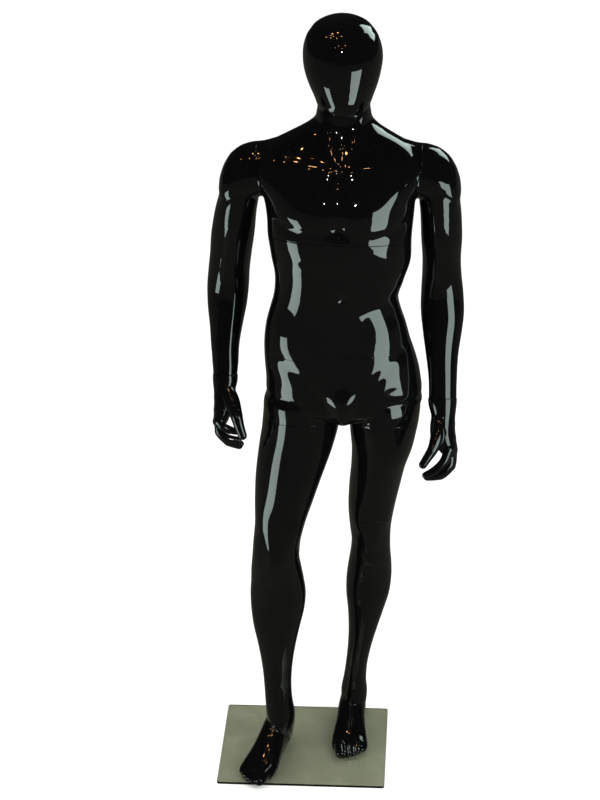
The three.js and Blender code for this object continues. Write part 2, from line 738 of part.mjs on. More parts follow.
/** The glass plate, with rounded corners and a counterbored hole under the spigot. */
function glassPlate() {
  const outline = new THREE.Shape();
  const [w, d, r] = [glassWidth / 2, glassDepth / 2, glassCornerRadius];
  outline.absarc(w - r, d - r, r, 0, Math.PI / 2);
  outline.absarc(-w + r, d - r, r, Math.PI / 2, Math.PI);
  outline.absarc(-w + r, -d + r, r, Math.PI, 1.5 * Math.PI);
  outline.absarc(w - r, -d + r, r, 1.5 * Math.PI, 2 * Math.PI);
  const plate = new THREE.ExtrudeGeometry(outline, {
    depth: glassThickness, bevelEnabled: false, curveSegments: 3,
  });
  const { x, y } = spigot;
  return solidOf(welded(plate))
    .subtract(upright(x, y, bushingOuter + fit, -1, glassThickness + 1))
    .subtract(upright(x, y, baseScrewHeadRadius + fit, -1, baseScrewHeadThickness + fit, 16));
}

/** The screw that comes up through the glass into the spigot. */
function baseScrew() {
  const { x, y } = spigot;
  return join([
    upright(x, y, baseScrewHeadRadius, fit, baseScrewHeadThickness, 16),
    upright(x, y, baseScrewRadius, baseScrewHeadThickness - 1, spigotBottom + 24),
  ]).subtract(upright(x, y, 3, 0, 1.6, 6));
}

/** A round piece about the spigot's axis, bored for the screw up to the end of its thread. */
function onScrew(radius, from, to, sides) {
  const bore = upright(spigot.x, spigot.y, bushingInner, 0, Math.min(to + 1, spigotBottom + 26));
  return upright(spigot.x, spigot.y, radius, from, to, sides).subtract(bore);
}

// ---------------------------------------------------------------- the assembly
const mannequin = new THREE.Group();

/** Adds one named piece. */
function add(name, solid, material) {
  const mesh = new THREE.Mesh(geometryOf(solid), material);
  mesh.name = name;
  mannequin.add(mesh);
}

/** Adds a seam's socket plate, its screws and its stud. */
function addLock(seam, plateName, studName) {
  add(plateName, socketPlate(seam), finish.steel);
  screwTurns(seam.lock).forEach((turn, i) => {
    add(`${plateName}_screw_${i + 1}`, plateScrew(seam, turn, 0), finish.steel);
  });
  add(studName, lockStud(seam), finish.steel);
}

const thighPoint = seams.thigh.point;
const thighReach = 103 * scale;
const rightThighOnly = upright(thighPoint.x - 8 * scale, thighPoint.y, thighReach, 0, rise(960), 48);

/** The pelvis with the left thigh, open at the hip, the right thigh and the left knee. */
function pelvisShell() {
  const outer = join([outerTorso, outerLeg.left, outerLeg.right]);
  const hollow = join([innerTorso, innerLeg.left, innerLeg.right]);
  const below = side(seams.thigh, 1, -half).intersect(rightThighOnly);
  const wallBelow = side(seams.thigh, 1, -half - bulkhead).intersect(rightThighOnly);
  const shell = outer.subtract(below)
    .intersect(side(seams.hip, -1, -half))
    .intersect(side(seams.knee, 1, half));
  const inside = hollow.subtract(wallBelow)
    .intersect(side(seams.hip, -1, -half - bulkhead))
    .intersect(side(seams.knee, 1, half + bulkhead));
  return largest(shell.subtract(inside)
    .subtract(socketCut(seams.hip))
    .subtract(socketCut(seams.thigh))
    .subtract(studCut(seams.knee)));
}

/** The chest with the neck, open at the neck, the waist and both shoulders. */
function chestShell() {
  return moulding(
    chestBody(outerTorso, outerShoulder, outerArm, half),
    chestBody(innerTorso, innerShoulder, innerArm, half + bulkhead),
    [[seams.neck, -1], [seams.waist, 1]],
    [[seams.right_shoulder, -1], [seams.left_shoulder, -1]],
  );
}

/** One arm, from the shoulder seam to the wrist seam. */
function armShell(name) {
  return moulding(
    armBody(name, outerTorso, outerShoulder, outerArm, half),
    armBody(name, innerTorso, innerShoulder, innerArm, half + bulkhead),
    [[seams[`${name}_wrist`], -1]],
    [[seams[`${name}_shoulder`], 1]],
  );
}

add('head_shell', headShell(), finish.gloss);
add('chest_shell', chestShell(), finish.gloss);
add('abdomen_shell', moulding(outerTorso, innerTorso, [[seams.waist, -1], [seams.hip, 1]]), finish.gloss);
add('pelvis_shell', pelvisShell(), finish.gloss);
add('right_leg_shell', moulding(outerLeg.right, innerLeg.right.intersect(aboveSole()), [[seams.thigh, 1]]),
  finish.gloss);
add('left_lower_leg_shell', lowerLegShell(), finish.gloss);
add('right_arm_shell', armShell('right'), finish.gloss);
add('left_arm_shell', armShell('left'), finish.gloss);
add('right_hand', handShell(seams.right_wrist, rightHand, 1), finish.gloss);
add('left_hand', handShell(seams.left_wrist, leftHand, -1), finish.gloss);

addLock(seams.neck, 'neck_socket_plate', 'head_stud');
addLock(seams.waist, 'waist_socket_plate', 'chest_stud');
addLock(seams.hip, 'hip_socket_plate', 'abdomen_stud');
addLock(seams.thigh, 'thigh_socket_plate', 'leg_stud');
addLock(seams.knee, 'knee_socket_plate', 'knee_stud');
addLock(seams.right_shoulder, 'right_shoulder_socket_plate', 'right_arm_stud');
addLock(seams.left_shoulder, 'left_shoulder_socket_plate', 'left_arm_stud');
addLock(seams.right_wrist, 'right_wrist_socket_plate', 'right_hand_stud');
addLock(seams.left_wrist, 'left_wrist_socket_plate', 'left_hand_stud');

add('foot_socket', footSocket(), finish.steel);
add('socket_set_screw', keyway(setScrewRadius, spigotRadius + fit, socketOuter + 5), finish.steel);
add('glass_base', glassPlate(), finish.glass);
const gasketTop = gasketBottom + gasketThickness;
const bushingBottom = baseScrewHeadThickness + 2 * fit;
add('base_gasket', onScrew(baseFlangeRadius, gasketBottom, gasketTop, 16), finish.rubber);
add('base_flange', onScrew(baseFlangeRadius, flangeBottom, flangeTop, 16), finish.chrome);
add('base_bushing', onScrew(bushingOuter, bushingBottom, glassThickness, 12), finish.nylon);
add('foot_spigot', onScrew(spigotRadius, spigotBottom, spigotTop, 12), finish.chrome);
add('base_screw', baseScrew(), finish.steel);

export default mannequin;
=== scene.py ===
"""Full body mannequin: glossy mouldings, twist locks and a glass base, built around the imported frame."""

import json
import logging
import math
from dataclasses import dataclass, field
from enum import Enum

import bmesh
import bpy
import numpy as np
from mathutils import Matrix, Vector

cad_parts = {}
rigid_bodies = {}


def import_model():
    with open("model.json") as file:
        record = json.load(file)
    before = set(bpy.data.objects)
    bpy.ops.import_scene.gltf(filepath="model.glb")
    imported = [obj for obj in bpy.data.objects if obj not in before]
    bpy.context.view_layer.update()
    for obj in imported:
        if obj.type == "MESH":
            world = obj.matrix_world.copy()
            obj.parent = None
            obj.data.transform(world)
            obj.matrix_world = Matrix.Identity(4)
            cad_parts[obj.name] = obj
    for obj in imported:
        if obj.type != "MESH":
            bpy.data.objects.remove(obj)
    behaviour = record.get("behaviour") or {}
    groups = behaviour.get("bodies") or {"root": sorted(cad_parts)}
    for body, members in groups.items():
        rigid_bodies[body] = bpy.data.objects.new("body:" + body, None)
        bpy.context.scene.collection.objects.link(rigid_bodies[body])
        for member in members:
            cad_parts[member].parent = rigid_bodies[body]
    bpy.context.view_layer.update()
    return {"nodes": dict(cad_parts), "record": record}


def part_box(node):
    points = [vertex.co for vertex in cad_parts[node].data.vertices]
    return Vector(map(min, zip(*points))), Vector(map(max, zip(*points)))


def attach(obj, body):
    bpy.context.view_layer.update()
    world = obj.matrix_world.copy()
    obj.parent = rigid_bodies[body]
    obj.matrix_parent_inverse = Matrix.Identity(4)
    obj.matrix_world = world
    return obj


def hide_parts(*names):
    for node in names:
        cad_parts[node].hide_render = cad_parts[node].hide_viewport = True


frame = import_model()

logging.basicConfig(level=logging.INFO, format="%(name)s: %(message)s")
log = logging.getLogger("mannequin")

MM = 0.001
DRAWN_STATURE = 1832.0      # sole to crown of the section tables, in millimetres
SEAM_GAP = 0.0004           # left between two mouldings at a seam
EDGE = 0.0007               # rounding of a moulding's rim at a seam
COARSE = 1.0
SKIN_VOXEL = 0.0032 * COARSE    # grid that joins the torso and the limbs
LEG_VOXEL = 0.0022 * COARSE
HAND_VOXEL = 0.0013 * COARSE

Row = tuple[float, ...]
Points = np.ndarray
Colour = Row | bpy.types.NodeSocket


class Side(Enum):
    """Which side of the figure a limb is on."""

    RIGHT = -1
    LEFT = 1


# ------------------------------------------------------------------ places taken from the frame
@dataclass(frozen=True)
class Seam:
    """A flat cut between two mouldings, where a twist lock turns."""

    point: Vector
    normal: Vector      # towards the moulding that carries the stud
    plate: float        # radius of the socket plate
    flange: float       # radius of the stud's flange


def seam_of(joint: str, plate: float, flange: float) -> Seam:
    """Finds a seam from the joint that turns on it.

    Args:
        joint: The joint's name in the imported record.
        plate: Radius of the socket plate in metres.
        flange: Radius of the stud's flange in metres.

    Returns:
        The seam at the joint's place, across its axis.
    """
    found = next(j for j in frame["record"]["behaviour"]["joints"] if j["name"] == joint)
    return Seam(Vector(found["pos_m"]), Vector(found["axis"]).normalized(), plate, flange)


LARGE, MEDIUM, SMALL = (0.044, 0.034), (0.031, 0.025), (0.017, 0.015)
SEAMS = {
    "neck": seam_of("head_turn", *MEDIUM),
    "waist": seam_of("waist_lock_turn", *LARGE),
    "hip": seam_of("hip_lock_turn", *LARGE),
    "thigh": seam_of("right_leg_turn", *LARGE),
    "knee": seam_of("knee_lock_turn", *MEDIUM),
    "right_shoulder": seam_of("right_arm_swing", *MEDIUM),
    "left_shoulder": seam_of("left_arm_swing", *MEDIUM),
    "right_wrist": seam_of("right_hand_turn", *SMALL),
    "left_wrist": seam_of("left_hand_turn", *SMALL),
}
SOLES = float(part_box("glass_base")[1][2]) + SEAM_GAP
SCALE = (float(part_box("head_shell")[1][2]) - SOLES) / (DRAWN_STATURE * MM)


def placed(points: Points) -> Points:
    """Takes points drawn in millimetres above the soles to their place in the frame, in metres."""
    out = np.asarray(points, float) * MM * SCALE
    out[:, 2] += SOLES
    return out


def drawn(points: Points) -> Points:
    """The opposite of placed: metres in the frame to drawn millimetres."""
    out = np.array(points, float)
    out[:, 2] -= SOLES
    return out / (MM * SCALE)


# ------------------------------------------------------------------ plain mesh arrays
@dataclass
class Surface:
    """A mesh as arrays: vertices in metres and faces as vertex numbers."""

    verts: Points
    faces: list[tuple[int, ...]]

    def joined(self, other: "Surface") -> "Surface":
        """Puts another surface beside this one."""
        shift = len(self.verts)
        moved = [tuple(v + shift for v in face) for face in other.faces]
        return Surface(np.vstack([self.verts, other.verts]), self.faces + moved)

    def to_mesh(self, name: str) -> bpy.types.Mesh:
        """Makes a Blender mesh with its faces turned outwards."""
        mesh = bpy.data.meshes.new(name)
        mesh.from_pydata([tuple(v) for v in self.verts], [], self.faces)
        work = bmesh.new()
        work.from_mesh(mesh)
        bmesh.ops.recalc_face_normals(work, faces=work.faces)
        work.to_mesh(mesh)
        work.free()
        return mesh


def eased_rows(rows: list[Row], step: float) -> Points:
    """Fills in a table of sections with smooth curves through every row.

    Args:
        rows: Sections from one end to the other; the first value is the place along the limb.
        step: Spacing of the filled-in rows, in the table's own units.

    Returns:
        The closely spaced rows.
    """
    table = np.array(rows, float)
    place = table[:, 0]
    count = max(2, int(round(abs(place[-1] - place[0]) / step)) + 1)
    targets = np.linspace(place[0], place[-1], count)
    sign = 1.0 if place[-1] > place[0] else -1.0
    knots, wanted = place * sign, targets * sign
    spans = np.diff(knots)
    slopes = np.diff(table, axis=0) / spans[:, None]
    tangents = np.vstack([slopes[:1], np.zeros((len(knots) - 2, table.shape[1])), slopes[-1:]])
    weight = spans[1:, None] / (spans[:-1, None] + spans[1:, None])
    tangents[1:-1] = slopes[:-1] * weight + slopes[1:] * (1 - weight)
    index = np.clip(np.searchsorted(knots, wanted, side="right") - 1, 0, len(spans) - 1)
    t = ((wanted - knots[index]) / spans[index])[:, None]
    h = spans[index][:, None]
    return (
        (1 + 2 * t) * (1 - t) ** 2 * table[index]
        + t * (1 - t) ** 2 * h * tangents[index]
        + t * t * (3 - 2 * t) * table[index + 1]
        + t * t * (t - 1) * h * tangents[index + 1]
    )


def skinned(rings: Points) -> Surface:
    """Skins a stack of rings, each with the same number of points, and closes both ends."""
    count, sides, _ = rings.shape
    verts = rings.reshape(-1, 3)
    faces = [
        (i * sides + j, i * sides + (j + 1) % sides, (i + 1) * sides + (j + 1) % sides, (i + 1) * sides + j)
        for i in range(count - 1)
        for j in range(sides)
    ]
    ends = np.array([rings[0].mean(axis=0), rings[-1].mean(axis=0)])
    low, high, last = count * sides, count * sides + 1, (count - 1) * sides
    faces += [((j + 1) % sides, j, low) for j in range(sides)]
    faces += [(last + j, last + (j + 1) % sides, high) for j in range(sides)]
    return Surface(np.vstack([verts, ends]), faces)


def shaped(values: Points, power: float) -> Points:
    """Raises sines or cosines to a power and keeps their sign."""
    return np.sign(values) * np.abs(values) ** power


def body_loft(rows: list[Row], sides: int, step: float, power: float = 1.0) -> Surface:
    """Lofts horizontal sections of [height, x, y, half width, depth in front, depth behind]."""
    table = eased_rows(rows, step)
    angle = np.linspace(0, 2 * np.pi, sides, endpoint=False)
    across, along = shaped(np.cos(angle), power), shaped(np.sin(angle), power)
    z, x, y, half, front, back = (table[:, i][:, None] for i in range(6))
    depth = np.where(np.sin(angle)[None, :] < 0, front, back)
    rings = np.stack([x + half * across, y + depth * along, z + 0 * angle[None, :]], axis=-1)
    surface = skinned(rings)
    return Surface(placed(surface.verts), surface.faces)


def remeshed(surface: Surface, voxel: float) -> bpy.types.Mesh:
    """Joins overlapping closed surfaces into one even skin.

    Args:
        surface: The closed surfaces, side by side.
        voxel: Size of the grid in metres.

    Returns:
        One closed mesh of small quads.
    """
    shape = bpy.data.objects.new("work", surface.to_mesh("work"))
    bpy.context.scene.collection.objects.link(shape)
    remesh = shape.modifiers.new("join", "REMESH")
    remesh.mode = "VOXEL"
    remesh.voxel_size = voxel
    remesh.adaptivity = 0.0
    view = bpy.context.evaluated_depsgraph_get()
    mesh = bpy.data.meshes.new_from_object(shape.evaluated_get(view))
    bpy.data.objects.remove(shape)
    return mesh


def positions(mesh: bpy.types.Mesh) -> Points:
    """Reads a mesh's vertex places."""
    out = np.empty(len(mesh.vertices) * 3)
    mesh.vertices.foreach_get("co", out)
    return out.reshape(-1, 3)


def set_positions(mesh: bpy.types.Mesh, points: Points) -> None:
    """Writes a mesh's vertex places."""
    mesh.vertices.foreach_set("co", np.ascontiguousarray(points, dtype=np.float32).ravel())
    mesh.update()


def normals(mesh: bpy.types.Mesh) -> Points:
    """Reads a mesh's vertex normals."""
    out = np.empty(len(mesh.vertices) * 3)
    mesh.vertices.foreach_get("normal", out)
    return out.reshape(-1, 3)


def relaxed(mesh: bpy.types.Mesh, rounds: int, weight: Points | float = 1.0, keep_size: bool = True) -> None:
    """Evens out a skin.

    Args:
        mesh: The mesh to change.
        rounds: How many passes to make.
        weight: How strongly each vertex follows, 0 to 1.
        keep_size: Whether each pass is followed by one that undoes its shrinking.
    """
    edges = np.empty(len(mesh.edges) * 2, dtype=np.int64)
    mesh.edges.foreach_get("vertices", edges)
    a, b = edges.reshape(-1, 2).T
    points = positions(mesh)
    count = len(points)
    degree = np.bincount(a, minlength=count) + np.bincount(b, minlength=count)
    strength = np.broadcast_to(np.asarray(weight, float), (count,))
    for _ in range(rounds):
        for share in ((0.5, -0.52) if keep_size else (0.5,)):
            pull = np.stack(
                [
                    np.bincount(a, points[b, k], count) + np.bincount(b, points[a, k], count)
                    for k in range(3)
                ],
                axis=1,
            ) / np.maximum(degree, 1)[:, None] - points
            points = points + share * strength[:, None] * pull
    set_positions(mesh, points)


# ------------------------------------------------------------------ modelling of the surface
def near(points: Points, centre: Row, radii: Row) -> Points:
    """A soft ball: 1 at the centre, falling away over the three radii, in drawn millimetres."""
    gap = (points - np.array(centre)) / np.array(radii)
    return np.exp(-np.sum(gap * gap, axis=1))


def along_line(points: Points, line: list[tuple[float, float]], width: float) -> Points:
    """A soft band beside a line drawn on the front of the figure as (x, height) points."""
    flat = points[:, [0, 2]]
    best = np.full(len(points), np.inf)
    for start, end in zip(line, line[1:]):
        a, d = np.array(start, float), np.array(end, float) - np.array(start, float)
        t = np.clip(((flat - a) @ d) / (d @ d), 0, 1)
        gap = flat - (a + t[:, None] * d)
        best = np.minimum(best, np.sum(gap * gap, axis=1))
    return np.exp(-best / (width * width))


@dataclass(frozen=True)
class Swell:
    """A rounded rise, or a hollow where its height is negative."""

    centre: Row
    radii: Row
    height: float

    def amount(self, points: Points, facing: Points) -> Points:
        """How far the surface moves outwards at each point."""
        return self.height * near(points, self.centre, self.radii)


@dataclass(frozen=True)
class Crease:
    """A band along a line: a groove where its depth is positive, a ridge where it is negative."""

    line: list[tuple[float, float]]
    width: float
    depth: float
    front: bool = True

    def amount(self, points: Points, facing: Points) -> Points:
        """How far the surface moves outwards at each point."""
        towards = -facing[:, 1] if self.front else facing[:, 1]
        shown = np.clip(towards * 2.2 - 0.2, 0, 1)
        return -self.depth * shown * along_line(points, self.line, self.width)


def modelled(mesh: bpy.types.Mesh, features: list[Swell | Crease]) -> None:
    """Moves a skin in or out along its normals by a list of features."""
    points, facing = positions(mesh), normals(mesh)
    paper = drawn(points)
    total = sum(feature.amount(paper, facing) for feature in features)
    set_positions(mesh, points + facing * (total * MM * SCALE)[:, None])


# ------------------------------------------------------------------ solids and cutters
def lathe(seam: Seam, profile: list[tuple[float, float]], sides: int = 72) -> Surface:
    """Turns a profile of (radius, height along the normal) about a seam's axis.

    Args:
        seam: Where the axis stands.
        profile: Points in metres from the lowest to the highest; both ends lie off the axis.
        sides: How many sides the round has.

    Returns:
        A closed surface.
    """
    angle = np.linspace(0, 2 * np.pi, sides, endpoint=False)
    rings = np.array([[[r * math.cos(a), r * math.sin(a), h] for a in angle] for r, h in profile])
    surface = skinned(rings)
    return Surface(onto(seam, surface.verts), surface.faces)


def onto(seam: Seam, points: Points) -> Points:
    """Moves points drawn about the origin so that their z lies along a seam's normal."""
    turn = Vector((0, 0, 1)).rotation_difference(seam.normal).to_matrix()
    return np.asarray(points) @ np.array(turn).T + np.array(seam.point)


def brick(low: Row, high: Row) -> Surface:
    """A plain block between two corners, used only to cut with."""
    corners = [(x, y, z) for z in (low[2], high[2]) for x, y in (
        (low[0], low[1]), (high[0], low[1]), (high[0], high[1]), (low[0], high[1]))]
    faces = [(3, 2, 1, 0), (4, 5, 6, 7), (0, 1, 5, 4), (1, 2, 6, 5), (2, 3, 7, 6), (3, 0, 4, 7)]
    return Surface(np.array(corners, float), faces)


def slab(seam: Seam, reach: Row, centre: Row = (0.0, 0.0)) -> Surface:
    """A thin plate across a seam, which parts one moulding from the next."""
    (x, y), (a, b), h = centre, reach, SEAM_GAP / 2
    block = brick((x - a, y - b, -h), (x + a, y + b, h))
    return Surface(onto(seam, block.verts), block.faces)


def pocket(seam: Seam) -> Surface:
    """The room for a twist lock: recess and well on one side, flange seat and opening on the other."""
    half = SEAM_GAP / 2
    well = seam.plate * 0.56
    return lathe(seam, [
        (well, -half - 0.015),
        (well, -half - 0.0043),
        (seam.plate + 0.0003, -half - 0.0043),
        (seam.plate + 0.0003, half * 0.2),
        (seam.flange + 0.0003, half * 0.2),
        (seam.flange + 0.0003, half + 0.0033),
        (seam.flange * 0.6, half + 0.0033),
        (seam.flange * 0.6, half + 0.015),
    ])


def combined(mesh: bpy.types.Mesh, tool: bpy.types.Mesh, operation: str) -> bpy.types.Mesh:
    """Joins, cuts or overlaps two closed meshes and returns the new one."""
    scene = bpy.context.scene.collection.objects
    body, other = bpy.data.objects.new("body", mesh), bpy.data.objects.new("tool", tool)
    scene.link(body)
    scene.link(other)
    cut = body.modifiers.new("cut", "BOOLEAN")
    cut.operation = operation
    cut.solver = "MANIFOLD"
    cut.object = other
    result = bpy.data.meshes.new_from_object(body.evaluated_get(bpy.context.evaluated_depsgraph_get()))
    bpy.data.objects.remove(body)
    bpy.data.objects.remove(other)
    return result


def islands(mesh: bpy.types.Mesh) -> list[bpy.types.Mesh]:
    """Splits a mesh into its separate closed pieces, the largest first."""
    work = bmesh.new()
    work.from_mesh(mesh)
    work.verts.ensure_lookup_table()
    label = [-1] * len(work.verts)
    groups: list[list[int]] = []
    for start in work.verts:
        if label[start.index] >= 0:
            continue
        stack, members = [start], []
        label[start.index] = len(groups)
        while stack:
            vert = stack.pop()
            members.append(vert.index)
            for edge in vert.link_edges:
                other = edge.other_vert(vert)
                if label[other.index] < 0:
                    label[other.index] = len(groups)
                    stack.append(other)
        groups.append(members)
    work.free()
    owner = np.array(label)
    points = positions(mesh)
    faces = [tuple(face.vertices) for face in mesh.polygons]
    found = []
    for number, members in sorted(enumerate(groups), key=lambda item: -len(item[1])):
        if len(members) < 200:
            continue
        keep = np.flatnonzero(owner == number)
        fresh = np.full(len(points), -1)
        fresh[keep] = np.arange(len(keep))
        part = bpy.data.meshes.new("part")
        part.from_pydata(
            points[keep].tolist(), [],
            [tuple(int(fresh[v]) for v in face) for face in faces if owner[face[0]] == number],
        )
        found.append(part)
    return found


def rim_eased(mesh: bpy.types.Mesh, seam: Seam, radius: float = EDGE) -> None:
    """Rounds the rim where a moulding's skin meets its flat seam face.

    Args:
        mesh: The moulding, already cut flat at the seam.
        seam: The seam that the rim lies on.
        radius: Size of the rounding in metres.
    """
    work = bmesh.new()
    work.from_mesh(mesh)
    normal, start = seam.normal, seam.point
    inside = [face for face in work.faces if abs((face.calc_center_median() - start) @ normal) < 0.02]
    centre = sum(((f.calc_center_median() - start) @ normal for f in inside)) if inside else 0.0
    sign = 1.0 if centre > 0 else -1.0
    for share in (0.12, 0.35, 0.65, 1.0):
        level = start + normal * sign * (SEAM_GAP / 2 + radius * share)
        near_faces = [f for f in work.faces if min(abs((v.co - level) @ normal) for v in f.verts) < 0.008]
        edges = {e for f in near_faces for e in f.edges}
        verts = {v for f in near_faces for v in f.verts}
        bmesh.ops.bisect_plane(
            work, geom=[*verts, *edges, *near_faces], dist=1e-6, plane_co=level, plane_no=normal
        )
    work.normal_update()
    limit = seam.plate + 0.002
    moves = []
    for vert in work.verts:
        gap = sign * ((vert.co - start) @ normal) - SEAM_GAP / 2
        if not -1e-5 <= gap < radius:
            continue
        flat = vert.co - start
        flat -= normal * (flat @ normal)
        if flat.length < limit:
            continue
        outward = vert.normal - normal * (vert.normal @ normal)
        sloped = [f.normal - normal * (f.normal @ normal) for f in vert.link_faces if abs(f.normal @ normal) < 0.95]
        if not sloped:
            continue
        outward = sum(sloped, Vector())
        if outward.length < 1e-6:
            continue
        rest = radius - gap
        moves.append((vert, outward.normalized() * (radius - math.sqrt(max(0.0, radius**2 - rest**2)))))
    for vert, step in moves:
        vert.co -= step
    work.to_mesh(mesh)
    work.free()


# ------------------------------------------------------------------ finishes
Sockets = dict[str, float | tuple[float, ...]]


def new_group(name: str, inputs: dict[str, float], outputs: list[str]) -> bpy.types.ShaderNodeTree:
    """Starts a shader node group with named number inputs and number outputs."""
    tree = bpy.data.node_groups.new(name, "ShaderNodeTree")
    for title, value in inputs.items():
        socket = tree.interface.new_socket(title, in_out="INPUT", socket_type="NodeSocketFloat")
        socket.default_value = value
    for title in outputs:
        tree.interface.new_socket(title, in_out="OUTPUT", socket_type="NodeSocketFloat")
    return tree


@dataclass
class Net:
    """A node tree that is being wired."""

    tree: bpy.types.NodeTree

    def add(self, kind: str, settings: dict | None = None, **links: object) -> bpy.types.Node:
        """Adds a node.

        Args:
            kind: The node's type name.
            settings: Properties to set on the node.
            **links: Input name (with _ for a space) to a value or to the socket that feeds it.

        Returns:
            The new node.
        """
        node = self.tree.nodes.new(kind)
        for key, value in (settings or {}).items():
            setattr(node, key, value)
        for key, value in links.items():
            index = int(key[1:]) if key[0] == "i" and key[1:].isdigit() else key.replace("_", " ")
            if isinstance(value, bpy.types.NodeSocket):
                self.tree.links.new(value, node.inputs[index])
            else:
                node.inputs[index].default_value = value
        return node

    def math(self, operation: str, a: object, b: object = 0.0) -> bpy.types.NodeSocket:
        """One sum of two numbers or sockets."""
        return self.add("ShaderNodeMath", {"operation": operation}, i0=a, i1=b).outputs[0]

    def span(self, value: object, low: float, high: float, to_low: float = 0.0, to_high: float = 1.0) -> bpy.types.NodeSocket:
        """Maps a range of values to another, smoothly and without overshoot."""
        node = self.add(
            "ShaderNodeMapRange", {"interpolation_type": "SMOOTHSTEP"},
            Value=value, From_Min=low, From_Max=high, To_Min=to_low, To_Max=to_high,
        )
        return node.outputs[0]

    def noise(self, place: object, scale: object, detail: float = 2.0) -> bpy.types.NodeSocket:
        """Plain noise at a place."""
        return self.add("ShaderNodeTexNoise", Vector=place, Scale=scale, Detail=detail).outputs[0]


def group_ends(tree: bpy.types.NodeTree) -> tuple[bpy.types.Node, bpy.types.Node]:
    """Adds the input and output nodes of a group."""
    return tree.nodes.new("NodeGroupInput"), tree.nodes.new("NodeGroupOutput")


def settled_dust() -> bpy.types.ShaderNodeTree:
    """A group that marks dust: fine specks and a thin film on faces that look up.

    Returns:
        The group, with the outputs Specks and Film between 0 and 1.
    """
    tree = new_group("Settled dust", {"Speck size": 0.002, "Amount": 0.5}, ["Specks", "Film"])
    net, (start, end) = Net(tree), group_ends(tree)
    place = net.add("ShaderNodeTexCoord").outputs["Object"]
    up = net.add("ShaderNodeSeparateXYZ", Vector=net.add("ShaderNodeNewGeometry").outputs["Normal"]).outputs["Z"]
    level = net.span(up, -0.1, 0.9, 0.15, 1.0)
    density = net.math("DIVIDE", 1.0, start.outputs["Speck size"])
    cells = net.add("ShaderNodeTexVoronoi", {"feature": "F1"}, Vector=place, Scale=density)
    chosen = net.math("GREATER_THAN", net.add("ShaderNodeSeparateColor", Color=cells.outputs["Color"]).outputs[0], 0.93)
    grain = net.math("MULTIPLY", net.span(cells.outputs["Distance"], 0.09, 0.16, 1.0, 0.0), chosen)
    patchy = net.span(net.noise(place, 14.0, 3.0), 0.45, 0.75)
    specks = net.math("MULTIPLY", net.math("MULTIPLY", grain, level), start.outputs["Amount"])
    film = net.math("MULTIPLY", net.math("MULTIPLY", patchy, level), start.outputs["Amount"])
    tree.links.new(specks, end.inputs["Specks"])
    tree.links.new(film, end.inputs["Film"])
    return tree


def moulded_skin() -> bpy.types.ShaderNodeTree:
    """A group for the height of a lacquered moulding.

    Returns:
        The group, whose output Height is in metres: slow waves of the moulding under a fine orange peel.
    """
    tree = new_group("Moulded skin", {"Wave height": 0.0002, "Peel height": 0.000002}, ["Height"])
    net, (start, end) = Net(tree), group_ends(tree)
    place = net.add("ShaderNodeTexCoord").outputs["Object"]
    wave = net.math("MULTIPLY", net.math("SUBTRACT", net.noise(place, 16.0, 1.0), 0.5), start.outputs["Wave height"])
    peel = net.math("MULTIPLY", net.math("SUBTRACT", net.noise(place, 650.0, 1.0), 0.5), start.outputs["Peel height"])
    tree.links.new(net.math("ADD", wave, peel), end.inputs["Height"])
    return tree


def rubbed_marks() -> bpy.types.ShaderNodeTree:
    """A group for handling marks.

    Returns:
        The group, with Hairlines (thin crossing scratches) and Smudges (soft wiped patches), 0 to 1.
    """
    tree = new_group("Rubbed marks", {"Scale": 1.0, "Amount": 0.5}, ["Hairlines", "Smudges"])
    net, (start, end) = Net(tree), group_ends(tree)
    place = net.add("ShaderNodeTexCoord").outputs["Object"]
    scaled = net.add("ShaderNodeVectorMath", {"operation": "SCALE"}, Vector=place, Scale=start.outputs["Scale"]).outputs[0]
    total: object = 0.0
    for turn in ((0.3, 0.9, 0.2), (1.1, 0.2, 1.9), (2.0, 1.3, 0.7)):
        turned = net.add("ShaderNodeMapping", Vector=scaled, Rotation=turn, Scale=(9.0, 420.0, 420.0)).outputs[0]
        total = net.math("ADD", total, net.span(net.noise(turned, 1.0, 1.0), 0.70, 0.78))
    wiped = net.add("ShaderNodeMapping", Vector=scaled, Scale=(9.0, 9.0, 26.0)).outputs[0]
    smudge = net.span(net.noise(wiped, 1.0, 4.0), 0.5, 0.72)
    tree.links.new(net.math("MULTIPLY", total, start.outputs["Amount"]), end.inputs["Hairlines"])
    tree.links.new(net.math("MULTIPLY", smudge, start.outputs["Amount"]), end.inputs["Smudges"])
    return tree


def drawn_metal() -> bpy.types.ShaderNodeTree:
    """A group for brushed metal.

    Returns:
        The group, whose output Grain runs along the object's X, 0 to 1.
    """
    tree = new_group("Drawn metal", {"Fineness": 1800.0}, ["Grain"])
    net, (start, end) = Net(tree), group_ends(tree)
    place = net.add("ShaderNodeTexCoord").outputs["Object"]
    stretched = net.add("ShaderNodeMapping", Vector=place, Scale=(0.04, 1.0, 1.0)).outputs[0]
    tree.links.new(net.noise(stretched, start.outputs["Fineness"], 3.0), end.inputs["Grain"])
    return tree


@dataclass
class Effects:
    """The shared effects, each built once."""

    dust: bpy.types.ShaderNodeTree = field(default_factory=settled_dust)
    skin: bpy.types.ShaderNodeTree = field(default_factory=moulded_skin)
    marks: bpy.types.ShaderNodeTree = field(default_factory=rubbed_marks)
    metal: bpy.types.ShaderNodeTree = field(default_factory=drawn_metal)


def started(name: str) -> tuple[bpy.types.Material, Net, bpy.types.Node]:
    """Starts a material and returns it with its net and its Principled shader."""
    material = bpy.data.materials.new(name)
    material.use_nodes = True
    return material, Net(material.node_tree), material.node_tree.nodes["Principled BSDF"]


def effect(net: Net, tree: bpy.types.NodeTree, **values: float) -> bpy.types.Node:
    """Places a shared effect in a material with its own values."""
    return net.add("ShaderNodeGroup", {"node_tree": tree}, **values)


